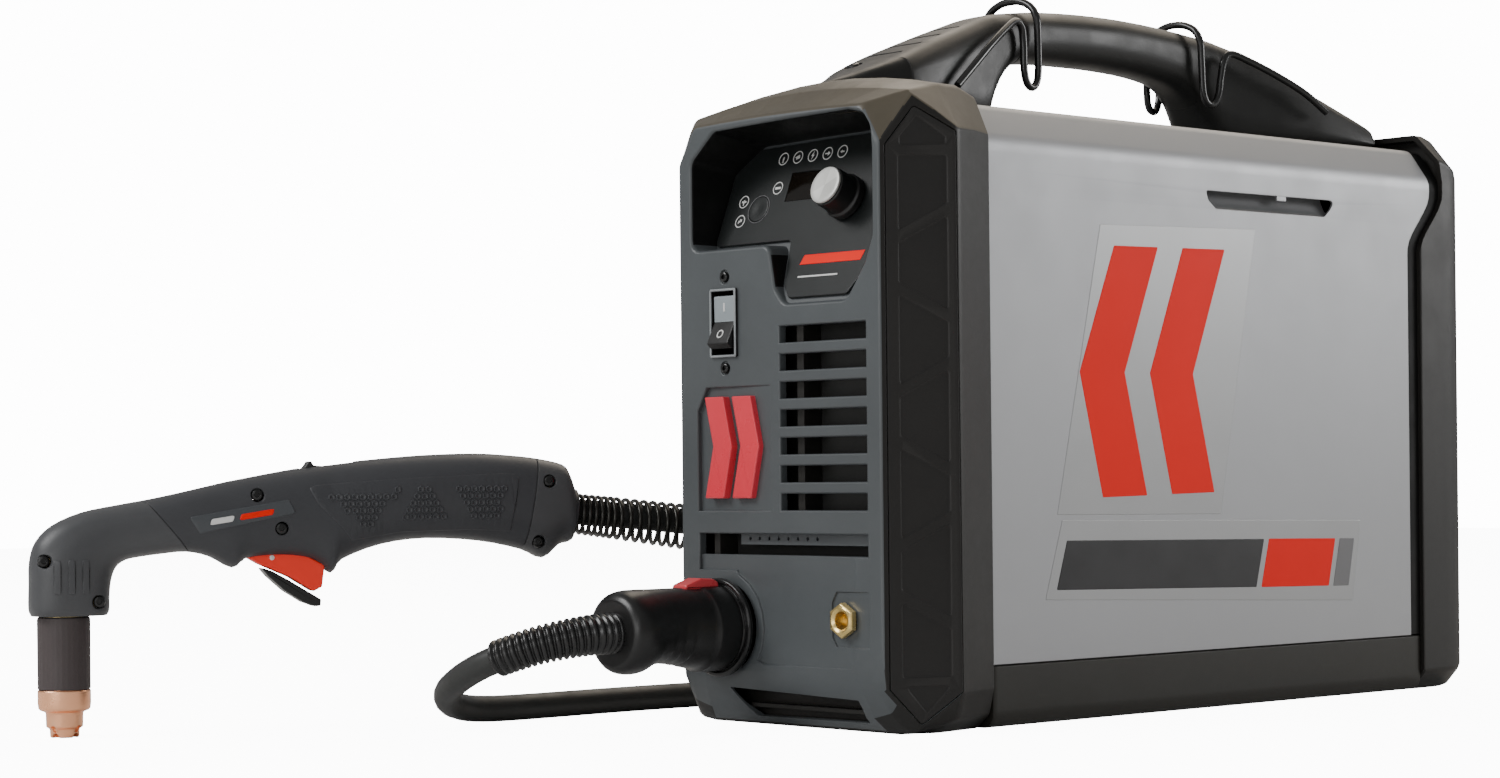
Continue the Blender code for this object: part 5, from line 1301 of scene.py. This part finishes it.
def handle_cuts():
    """Grooves across the front saddle's top, and the dimple for its screw."""
    grooves = []
    for y in (-146.0, -132.5, -119.0, -105.5):
        rings = []
        for x in (-18.0, -16.5, -13.0, -9.0, -5.0, -1.0, 3.0, 7.0, 9.5, 11.0):
            z = handle_top(x, y)
            deep = 2.2 if -17 < x < 10 else 0.1
            rings.append([(x, y - 1.5, z + 2.0), (x, y + 1.5, z + 3.2), (x, y + 0.9, z - deep),
                          (x, y - 0.9, z - deep)])
        grooves.append(loft("groove", rings))
    profile = [(0.01, -2.2), (4.2, -2.2), (4.6, -1.8), (5.0, 2.0), (5.6, 6.0), (0.01, 6.0)]
    dimple = placed(turned("dimple", profile, 32), (-8.0, -160.5, 319.6), (0, -0.38, 0.92))
    return [gathered("grooves", grooves), dimple]


HOOK_FRONT = [
    (31.0, -128, 309.0), (29.8, -116, 319.0), (27.5, -101, 331.0), (24.0, -86, 341.0), (21.5, -76, 346.2),
    (20.5, -70.5, 344.0), (20.0, -68.5, 336.0), (19.8, -68.0, 323.0), (19.7, -66.0, 316.5),
    (19.7, -62.5, 314.2), (19.6, -59.0, 316.5), (19.3, -57.0, 323.0), (18.8, -56.5, 340.0),
    (18.0, -56.5, 350.0), (14.0, -56.5, 356.2), (7.0, -56.5, 359.6), (0.0, -56.5, 360.3),
]
HOOK_REAR = [
    (42.0, 150, 315.0), (38.5, 136, 324.5), (33.5, 119, 333.0), (27.5, 103, 340.2), (23.2, 92.0, 344.0),
    (22.2, 87.0, 340.0), (21.5, 85.0, 331.0), (21.0, 84.0, 323.0), (20.5, 81.5, 317.5),
    (20.0, 78.0, 316.0), (19.7, 74.5, 317.8), (19.4, 72.5, 324.0), (19.0, 72.0, 340.0),
    (18.2, 72.0, 349.5), (14.2, 72.0, 356.0), (7.0, 72.0, 359.4), (0.0, 72.0, 360.2),
]


def wire_hooks():
    """Bent wires over the handle, each with a hanging loop at both sides."""
    for name, side in (("wire_hook_front", HOOK_FRONT), ("wire_hook_rear", HOOK_REAR)):
        points = side + [(-x, y, z) for x, y, z in reversed(side[:-1])]
        wire = tube(name + "_wire", smooth_path([Vector(p) * MM for p in points], 0.0012), 0.0019, 5)
        keep(wire, "wire", [name])


# ---------------------------------------------------------------- torch
SCREW_PLACES = [(-10.0, 83.5), (15.3, 64.0), (90.2, 113.5), (101.6, 97.3), (235.0, 118.7), (229.5, 88.6)]
TORCH_STATIONS = [
    # upper and lower outline point, each as distance along the handle and height, and half width
    (-15.0, 57.5, 20.0, 57.5, 14.5), (-16.2, 61.0, 21.2, 60.0, 15.5), (-16.0, 72.0, 21.4, 67.0, 15.8),
    (-15.7, 83.0, 22.2, 74.0, 15.8), (-12.8, 92.5, 24.5, 80.0, 15.4), (-5.0, 100.3, 29.0, 83.2, 14.8),
    (8.5, 106.2, 36.0, 84.6, 14.2), (25.0, 109.5, 46.0, 85.8, 13.8), (42.0, 112.4, 57.5, 86.6, 13.8),
    (60.0, 116.2, 68.5, 84.2, 14.2), (76.0, 119.8, 79.5, 78.6, 14.8), (85.0, 121.5, 86.2, 82.6, 15.0),
    (102.0, 124.6, 103.0, 83.8, 15.2), (116.0, 126.8, 118.0, 81.5, 15.4),
    (126.5, 128.0, 127.2, 75.2, 15.5), (135.0, 128.9, 132.5, 81.5, 15.6),
    (150.0, 130.4, 152.0, 88.6, 15.8), (174.0, 132.2, 174.7, 91.2, 16.0),
    (200.0, 132.8, 202.0, 89.4, 15.8), (219.0, 131.6, 222.8, 85.0, 15.3),
    (232.0, 130.0, 233.5, 80.6, 14.8), (244.0, 127.2, 241.5, 86.8, 14.0),
    (247.0, 123.5, 246.0, 88.0, 13.4), (249.0, 118.0, 248.2, 89.0, 12.5),
]
TORCH_POWER = 0.8


def torch_row_ring(row, shrink=0.0, count=64):
    """One section of the torch body: a soft-cornered oval between its two outline points."""
    s1, z1, s2, z2, half = row
    top, low = Vector((s1, 0.0, z1)), Vector((s2, 0.0, z2))
    centre, up = (top + low) / 2, (top - low) / 2
    up = up.normalized() * (up.length - shrink)
    ring = []
    for i in range(count):
        angle = 2 * math.pi * (i + 0.5) / count
        c, s = math.cos(angle), math.sin(angle)
        c = math.copysign(abs(c) ** TORCH_POWER, c) * (half - shrink)
        s = math.copysign(abs(s) ** TORCH_POWER, s)
        ring.append(centre + up * s + Vector((0.0, c, 0.0)))
    return ring


def side_height(at, lift=0.0):
    """How far the torch's side stands from its middle plane at a place given along and up."""
    s, z = at
    best = None
    for row, after in zip(TORCH_STATIONS, TORCH_STATIONS[1:]):
        for k in range(6):
            t = k / 6
            s1, z1, s2, z2, half = [a + (b - a) * t for a, b in zip(row, after)]
            along, up = s1 - s2, z1 - z2
            length = math.hypot(along, up)
            away = abs((s - s2) * up - (z - z2) * along) / length
            where = ((s - s2) * along + (z - z2) * up) / length ** 2
            if 0.0 <= where <= 1.0 and (best is None or away < best[0]):
                best = (away, where, half)
    if best is None:
        return 12.0 + lift
    reach = min(1.0, abs(2 * best[1] - 1))
    return best[2] * max(0.0, 1 - reach ** (2 / TORCH_POWER)) ** (TORCH_POWER / 2) + lift


def in_torch(obj):
    """Moves a mesh from the torch's own frame, along, aside and up, to its place."""
    obj.data.transform(Matrix.Translation(TORCH_TIP * MM) @ Matrix.Rotation(TORCH_HEADING, 4, "Z"))
    return obj


def torch_metres(along, height, aside=0.0):
    c, s = math.cos(TORCH_HEADING), math.sin(TORCH_HEADING)
    return (TORCH_TIP + Vector((along * c - aside * s, along * s + aside * c, height))) * MM


def stepped(outline):
    """The outline with soft corners and a point about every 2.5 mm."""
    points = rounded(outline, 1.0, 2)
    fine = []
    for (s1, z1), (s2, z2) in zip(points, points[1:] + points[:1]):
        count = max(1, int(math.hypot(s2 - s1, z2 - z1) / 2.5))
        fine += [(s1 + (s2 - s1) * k / count, z1 + (z2 - z1) * k / count) for k in range(count)]
    return fine


def side_plate(name, outline, way, low, high, soft=0.35):
    """A plate on the torch's side that follows its curve, made of a fine grid cut to the outline."""
    fine = stepped(outline)
    bm = bmesh.new()
    bm.faces.new([bm.verts.new((s, 0.0, z)) for s, z in fine])
    bmesh.ops.triangulate(bm, faces=bm.faces[:])
    for _ in range(3):
        long_edges = [e for e in bm.edges if not e.is_boundary and e.calc_length() > 4.0]
        bmesh.ops.subdivide_edges(bm, edges=long_edges, cuts=1)
        bmesh.ops.triangulate(bm, faces=bm.faces[:])
    bm.verts.index_update()
    inner = [(v.co.x, v.co.z) for v in bm.verts]
    tris = [[v.index for v in f.verts] for f in bm.faces]
    bm.free()
    rim = [min(range(len(inner)), key=lambda i: math.hypot(inner[i][0] - s, inner[i][1] - z))
           for s, z in fine]
    base = [(s, way * side_height((s, z), low), z) for s, z in inner]
    top = [(s, way * side_height((s, z), high), z) for s, z in inner]
    count = len(inner)
    shrunk = grown([inner[i] for i in rim], -soft)
    for i, (s, z) in zip(rim, shrunk):
        top[i] = (s, way * side_height((s, z), high), z)
    mid = [(inner[i][0], way * side_height(inner[i], high - soft), inner[i][1]) for i in rim]
    faces = tris + [[count + i for i in reversed(t)] for t in tris]
    for a in range(len(rim)):
        b = (a + 1) % len(rim)
        faces.append([rim[a], rim[b], 2 * count + b, 2 * count + a])
        faces.append([2 * count + a, 2 * count + b, count + rim[b], count + rim[a]])
    return mesh_object(name, base + top + mid, faces, 40)


def torch_shells():
    """Two moulded halves with a parting line, a bay for the trigger and a slot for the lock slider."""
    rows = between(TORCH_STATIONS, 3)
    for name, way in (("near", -1), ("far", 1)):
        shell = loft("torch_half_" + name, [torch_row_ring(row) for row in rows], angle=60)
        hollow = [torch_row_ring(row, 2.2, 24) for row in TORCH_STATIONS[1:-2]]
        neck = [p - Vector((0, 0, 6)) for p in hollow[0]]
        tail = [Vector((p.x + 16, p.y * 0.70, 103.5 + (p.z - 103.5) * 0.62)) for p in hollow[-1]]
        inside = loft("inside", [neck] + hollow + [tail])
        bay = box("bay", (84.5, -6.2, 60.0), (125.5, 6.2, 104.0))
        slot = box("slot", (112.0, -4.6, 121.5), (140.0, 4.6, 140.0))
        low, high = (-50.0, -0.18) if way < 0 else (0.18, 50.0)
        half = box("half", (-50.0, low, 0.0), (300.0, high, 200.0))
        carve(shell, "DIFFERENCE", inside, bay, slot, angle=60)
        carve(shell, "INTERSECT", half, angle=40)
        profile = [(0.01, -2.4), (3.3, -2.4), (3.3, 0.2), (3.7, 0.7), (3.7, 4.0), (0.01, 4.0)]
        cutters = []
        for s, z in SCREW_PLACES:
            place = (s, way * side_height((s, z)), z)
            cutters.append(placed(turned("counterbore", profile, 28), place, (0, way, 0)))
        cutters.append(seam_groove(way, (38.0, 110.8), (58.9, 86.0)))
        cutters.append(seam_groove(way, (230.5, 129.8), (222.3, 84.6)))
        carve(shell, "DIFFERENCE", *cutters, angle=40)
        in_torch(shell)
        keep(shell, "torch", ["torch_shell_" + name])
        zone(shell, "torch_grip", on_handle)
        screws = []
        for s, z in SCREW_PLACES:
            place = (s, way * (side_height((s, z)) - 2.3), z)
            screws.append(socket_screw("torch_screw", place, (0, way, 0), 2.9, 1.5))
        keep(in_torch(gathered("torch_screws_" + name, screws)), "gloss_black")
        inlays(name, way)


def seam_groove(way, top, low):
    """A fine groove over the torch's side between two places on its outline."""
    points = [(top[0] + (low[0] - top[0]) * k / 12, top[1] + (low[1] - top[1]) * k / 12) for k in range(13)]
    rings = []
    for s, z in points:
        depth = side_height((s, z))
        rings.append([(s - 0.3, way * (depth - 0.5), z), (s + 0.3, way * (depth - 0.5), z),
                      (s + 0.3, way * (depth + 2.0), z), (s - 0.3, way * (depth + 2.0), z)])
    return loft("seam", rings)


def on_handle(centre, normal):
    """Whether a place lies on the grip between the two seams."""
    turn = centre - TORCH_TIP
    c, s = math.cos(TORCH_HEADING), math.sin(TORCH_HEADING)
    along = turn.x * c + turn.y * s
    head = 38.0 + (110.8 - centre.z) * 20.9 / 24.8
    tail = 230.5 - (129.8 - centre.z) * 8.2 / 45.2
    return head < along < tail


def inlays(name, way):
    """A plain label field, and the grip's three patches of hexagonal studs."""
    label = [(57.5, 103.4), (105.2, 111.2), (108.4, 104.6), (62.6, 95.4)]
    plate = side_plate("torch_label_" + name, label, way, -0.4, 0.35)
    keep(in_torch(plate), "label")
    for part, finish, start, end in (("white", "ink", 67.0, 78.0), ("red", "red_film", 81.0, 97.0)):
        low = 98.6 + (start - 62.6) * 0.155
        high = 98.6 + (end - 62.6) * 0.155
        bar = [(start, low), (end, high), (end + 1.2, high + 3.0), (start + 1.2, low + 3.0)]
        mark = side_plate("torch_label_" + part + "_" + name, bar, way, 0.2, 0.5, 0.1)
        keep(in_torch(mark), finish)
    bosses = [side_plate("boss", rectangle(s, s + 3.4, 68.0, 84.0), way, -0.3, 0.5, 0.3)
              for s in (-6.0, 0.6, 7.2)]
    keep(in_torch(gathered("torch_bosses_" + name, bosses)), "torch")
    border = [(115.0, 116.6), (118.5, 118.0), (162.5, 120.9), (215.8, 123.0), (219.3, 120.9), (214.7, 94.1),
              (196.0, 95.4), (160.0, 94.6), (135.4, 90.9), (131.0, 97.0), (119.0, 109.0)]
    field = side_plate("torch_inlay_" + name, border, way, -0.5, 0.30)
    keep(in_torch(field), "torch_grip")
    studs = []
    patches = ([(123.5, 112.6), (158.2, 115.9), (159.4, 115.0), (147.2, 98.6), (140.0, 96.6)],
               [(166.5, 117.5), (175.2, 117.4), (184.6, 100.8), (156.6, 99.6)],
               [(182.3, 118.5), (212.6, 117.4), (209.0, 97.9), (193.5, 99.4)])
    pitch = 3.8
    for patch in patches:
        area = grown(rounded(patch, 0.5, 1), -0.6)
        for row in range(9):
            for column in range(26):
                s = 120.0 + pitch * (column + 0.5 * (row % 2))
                z = 95.5 + pitch * 0.866 * row
                if within((s, z), area):
                    studs.append(stud((s, z), way))
    keep(in_torch(gathered("torch_studs_" + name, studs)), "torch_grip")


def stud(at, way):
    """A low hexagonal ring with a dished middle."""
    rings = []
    for radius, lift in ((1.95, 0.1), (1.85, 0.55), (1.55, 0.85), (1.1, 0.75), (0.6, 0.35), (0.05, 0.3)):
        ring = []
        for i in range(6):
            angle = math.pi / 3 * (i + 0.5)
            s, z = at[0] + radius * math.cos(angle), at[1] + radius * math.sin(angle)
            ring.append((s, way * side_height((s, z), lift), z))
        rings.append(ring)
    return loft("stud", rings, angle=30)


def torch_controls():
    """Trigger with its pins, safety lever, and the lock slider with its raised rib."""
    outline = rounded([(86.2, 83.6), (87.0, 89.5), (90.5, 89.5), (99.0, 86.2), (113.0, 85.0), (124.0, 79.2),
                       (122.6, 68.6), (118.2, 66.4), (106.8, 73.6), (92.0, 80.2)], 1.4, 4)
    trigger = slab("trigger_paddle", outline, "Y", 0.0, [(5.6, -0.9), (5.3, -0.25), (4.6, 0.0)])
    keep(in_torch(trigger), "trigger_red", ["torch_trigger"], "torch_trigger")
    blade = rounded([(92.4, 78.9), (96.4, 74.1), (104.4, 66.9), (113.0, 61.4), (118.6, 59.2), (121.7, 59.4),
                     (121.9, 62.6), (117.4, 65.4), (106.0, 72.4), (98.5, 76.6)], 0.9, 4)
    lever = slab("safety_blade", blade, "Y", 0.0, [(6.2, -0.7), (5.9, -0.2), (5.3, 0.0)])
    keep(in_torch(lever), "black", ["trigger_safety_lever"], "trigger_safety_lever")
    pins = [placed(turned("pin", [(0.01, 0.0), (1.3, 0.0), (1.2, 0.4), (0.8, 0.55), (0.01, 0.55)], 20),
                   (98.2, way * 5.5, 83.2), (0, way, 0)) for way in (-1, 1)]
    keep(in_torch(gathered("trigger_pins", pins)), "ink", (), "torch_trigger")
    top = [(113.6, 122.4), (113.6, 125.8), (115.0, 126.9), (116.6, 129.4), (118.0, 129.6), (119.2, 127.6),
           (121.2, 127.4), (122.6, 127.3), (124.0, 126.0), (131.4, 125.9), (131.4, 122.4)]
    slider = slab("lock_block", rounded(top, 0.6, 3), "Y", 0.0, [(4.2, -0.4), (3.8, 0.0)])
    keep(in_torch(slider), "black", ["lock_slider"], "lock_slider")


def torch_nose():
    """Ribbed retaining cap and the stepped copper shield with its notched tip."""
    rings = []
    for radius, height in ((10.6, 22.8), (12.0, 22.8), (12.3, 23.2), (12.4, 55.6), (12.1, 56.6), (11.6, 57.0),
                           (10.6, 57.0)):
        ring = []
        for i in range(120):
            ripple = 0.14 * (i % 4 < 2) if 23.5 < height < 56.0 else 0.0
            angle = 2 * math.pi * i / 120
            ring.append(((radius - ripple) * math.cos(angle), (radius - ripple) * math.sin(angle), height))
        rings.append(ring)
    cap = loft("nose_cap", rings, loop=True, angle=25)
    keep(in_torch(cap), "retaining", ["retaining_cap"])
    profile = [(3.0, 0.3), (3.4, 0.0), (6.3, 0.0), (6.8, 0.5), (6.9, 3.6), (7.2, 4.2), (8.2, 4.8), (8.6, 5.4),
               (8.75, 11.4), (9.2, 12.1), (11.3, 12.9), (12.1, 13.8), (12.4, 16.2), (12.4, 22.0),
               (12.1, 22.4), (10.6, 22.4), (10.4, 15.0), (5.6, 6.5), (3.0, 4.0)]
    shield = turned("nose_shield", profile, 72, loop=True, angle=30)
    notches = []
    for i in range(4):
        angle = math.pi / 2 * i + math.pi / 4
        for radius, reach, size in ((6.8, 0.4, 1.9), (8.8, 4.2, 1.7)):
            ball = turned("notch", [(0.01, -3), (size, -3), (size, 3), (0.01, 3)], 24)
            direction = (math.cos(angle), math.sin(angle), 0.0)
            place = (radius * math.cos(angle), radius * math.sin(angle), reach)
            notches.append(placed(ball, place, direction))
    cut(shield, gathered("notches", notches[0::2]), gathered("steps", notches[1::2]), angle=30)
    keep(in_torch(shield), "copper", ["torch_shield"])


def helix(points, radii, turns_at, steps=24):
    """Points of a wire wound round a path, in metres, from one radius to another.

    The turns_at list gives (share of the path, turns up to there).
    """
    fine = smooth_path(points, 0.0008)
    side = Vector((0, 0, 1))
    total = turns_at[-1][1]
    count = int(total * steps)
    wound = []
    for k in range(count + 1):
        turns = k / steps
        share = 1.0
        for (s1, t1), (s2, t2) in zip(turns_at, turns_at[1:]):
            if t1 <= turns <= t2:
                share = s1 + (s2 - s1) * (turns - t1) / (t2 - t1)
                break
        at = share * (len(fine) - 1)
        i = min(int(at), len(fine) - 2)
        place = fine[i].lerp(fine[i + 1], at - i)
        ahead = (fine[i + 1] - fine[i]).normalized()
        side = (side - ahead * side.dot(ahead)).normalized()
        other = ahead.cross(side)
        angle = 2 * math.pi * turns
        radius = radii[0] + (radii[1] - radii[0]) * share
        wound.append(place + side * (radius * math.cos(angle)) + other * (radius * math.sin(angle)))
    return wound


def spring_guard():
    """The wire guard round the lead behind the torch: close turns first, then open ones."""
    points = [torch_metres(249.6, 102.4), torch_metres(268.0, 100.2), torch_metres(295.0, 96.6),
              torch_metres(321.2, 93.2)]
    wire = helix(points, (0.0092, 0.0110), [(0.0, 0.0), (0.31, 7.0), (1.0, 17.4)])
    keep(tube("spring_wire", wire, 0.00108, 4), "spring", ["torch_spring_guard"])
    path = smooth_path([torch_metres(244.0, 104.2), torch_metres(250.5, 103.4)], 0.0005)
    collar = swept("spring_collar", path, lambda run: 11.8 - 0.25 * max(0.0, run - 3.5), 48)
    keep(collar, "torch_grip")


# ---------------------------------------------------------------- torch lead and its plug
def plug():
    """Round connector grip: flange, waisted underside with finger ridges, flat crown and an end bulb."""
    # distance from the front face, top reach, bottom reach, half width
    rows = [(-5.8, 19.0, 19.0, 19.0), (7.0, 19.0, 19.0, 19.0), (7.4, 20.2, 20.2, 20.2),
            (8.4, 20.8, 20.8, 20.8), (19.0, 20.8, 20.8, 20.8), (20.6, 20.4, 20.4, 20.4),
            (22.4, 20.0, 19.3, 19.6), (26.0, 19.8, 18.6, 19.0), (31.0, 19.8, 17.4, 18.2),
            (33.0, 19.8, 16.0, 17.9), (35.0, 19.8, 16.8, 17.7), (39.0, 19.8, 15.2, 17.4),
            (41.0, 19.8, 15.9, 17.4), (45.0, 19.8, 14.8, 17.6), (47.0, 19.8, 15.6, 17.9),
            (51.0, 19.8, 15.8, 18.4), (54.0, 19.9, 17.2, 18.9), (58.0, 19.9, 19.3, 19.6),
            (62.0, 19.9, 19.9, 19.9), (66.0, 19.4, 19.6, 19.6), (68.6, 18.4, 18.8, 18.8),
            (70.2, 16.6, 17.2, 17.2), (71.0, 14.6, 15.2, 15.2)]
    rings = []
    for d, up, down, half in between(rows, 2):
        ring = []
        for i in range(72):
            angle = 2 * math.pi * i / 72
            c, s = math.cos(angle), math.sin(angle)
            if 22.0 < d < 60.0:
                flat = min(1.0, (d - 22.0) / 6.0, (60.0 - d) / 6.0)
                s = s * (1 + 0.03 * flat * abs(math.sin(2 * angle)))
            reach = up if s > 0 else down
            ring.append((SOCKET_AT[0] + half * c, FRONT - d, SOCKET_AT[1] + reach * s))
        rings.append(ring)
    body = loft("plug_body", rings, angle=40)
    x, z = SOCKET_AT
    pocket = box("button_pocket", (x - 6.0, FRONT - 30.6, z + 14.5), (x + 6.0, FRONT - 7.8, z + 32.0))
    cut(body, pocket, angle=40)
    keep(body, "black", ["torch_plug"])
    outline = rounded([(FRONT - 29.7, z + 18.5), (FRONT - 8.6, z + 18.5), (FRONT - 8.6, z + 22.2),
                       (FRONT - 12.0, z + 23.8), (FRONT - 20.0, z + 24.2), (FRONT - 29.7, z + 21.2)], 2.0, 5)
    dome = slab("release_dome", outline, "X", x, [(5.4, -1.6), (5.0, -0.5), (4.0, 0.0)])
    keep(dome, "red", ["plug_release_button"], "plug_release_button")


def ribbed_relief():
    """Rubber strain relief with close ribs, tapering towards the lead."""
    length, ribs, per_rib = 60.0, 19, 8
    step = length / (ribs * per_rib)
    route = smooth_path([(-0.0380, -0.2918, 0.0475)] + FRONT_ROUTE[:8], step * MM)[:ribs * per_rib + 1]
    dips = (1.35, 1.2, 0.35, 0.05, 0.0, 0.05, 0.35, 1.2)

    def radius_at(run):
        return 9.9 - 1.1 * min(1.0, run / length) - dips[round(run / step) % per_rib]

    relief = swept("ribbed_relief", route, radius_at, 40, 50)
    keep(relief, "relief", ["plug_strain_relief"])


def coil_points():
    """The stored turns: four layers of three columns, each turn easing into its neighbour's place."""
    slots = []
    for layer in range(4):
        columns = COIL_COLUMNS[::-1] if layer % 2 == 0 else COIL_COLUMNS
        slots += [(r, COIL_BASE + LEAD_PITCH * (layer + 0.5)) for r in columns]
    slots.append(slots[-1])
    points = []
    steps = 30
    for k in range(3, int(COIL_TURNS * steps) + 1):
        turns = k / steps
        index = int(turns)
        t = max(0.0, (turns - index - 0.80) / 0.20)
        t = t * t * (3 - 2 * t)
        radius = slots[index][0] * (1 - t) + slots[index + 1][0] * t
        height = slots[index][1] * (1 - t) + slots[index + 1][1] * t
        angle = 2 * math.pi * turns
        points.append(Vector((COIL_CENTRE[0] + radius * math.cos(angle),
                              COIL_CENTRE[1] + radius * math.sin(angle), height)))
    return points


def lead():
    """The whole lead as one cord: from the plug, round the loop, through the coil and up to the torch."""
    entry = [(-0.0958, 0.0330, 0.0088)]
    leave = [(-0.2120, -0.0206, 0.0500)]
    tail = [torch_metres(326.5, 95.4), torch_metres(301.0, 98.4), torch_metres(276.0, 101.0),
            torch_metres(252.0, 103.2)]
    front = smooth_path(FRONT_ROUTE + entry, 0.006)
    back = smooth_path(leave + REAR_ROUTE + tail, 0.006)
    path = front + coil_points() + back
    return keep(tube("torch_lead", path, LEAD_DIAMETER / 2, 6), "lead",
                ["lead_front_run", "lead_rear_run", "lead_coil"])


def coil_strap():
    """Woven strap round the coil, with its buckle."""
    inner = (COIL_COLUMNS[0] - LEAD_DIAMETER / 2) / MM
    outer = (COIL_COLUMNS[-1] + LEAD_DIAMETER / 2) / MM
    low, high = COIL_BASE / MM, (COIL_BASE + 4 * LEAD_PITCH) / MM
    cx, cy = COIL_CENTRE[0] / MM, COIL_CENTRE[1] / MM
    inside = rounded(rectangle(cx - outer - 0.5, cx - inner + 2.2, low - 0.4, high + 0.6), 3.0, 5)
    steps = [(cy - 10.0, 0.85), (cy - 9.6, 1.1), (cy + 9.6, 1.1), (cy + 10.0, 0.85), (cy + 10.0, 0.2),
             (cy + 9.6, 0.0), (cy - 9.6, 0.0), (cy - 10.0, 0.2)]
    strap = loft("coil_strap", stack(inside, "Y", steps), loop=True)
    keep(strap, "strap", ["coil_tie"])
    x = cx - (inner + outer) / 2
    frame_outline = rounded(rectangle(x - 7.0, x + 7.0, cy - 12.5, cy + 12.5), 2.0, 4)
    buckle = pillow("coil_buckle", frame_outline, "Z", high + 1.5, high + 4.6, 1.0)
    gaps = [prism("gap", rounded(rectangle(x + left, x + left + 3.4, cy - 9.9, cy + 9.9), 0.8, 3), "Z", high,
                  high + 8) for left in (-4.6, 1.2)]
    keep(cut(buckle, gathered("gaps", gaps)), "black")


def main():
    studio()
    cord = lead()
    coil_strap()
    ribbed_relief()
    plug()
    lights()
    floor()
    for build in (front_cap, behind_vents, control_panel, knob, mode_button, rocker_switch, switch_screws,
                  emblem, sockets, side_cover, rear_seal, base_rail, rear_cap, handle, wire_hooks,
                  torch_shells, torch_controls, torch_nose, spring_guard):
        build()
    repaint("black", "trigger_micro_switch", "air_hose", "air_regulator", "bulk_capacitor_front",
            "bulk_capacitor_rear", "fan_frame", "fan_rotor")
    repaint("steel", "divider_panel", "transformer_core", "solenoid_valve", "knob_encoder", "heatsink")
    repaint("board", "power_board", "control_board")
    repaint("winding", "transformer_winding", "output_inductor")
    repaint("brass", "swirl_ring", "torch_core", "torch_gas_tube")
    repaint("copper", "torch_nozzle", "torch_electrode")


main()
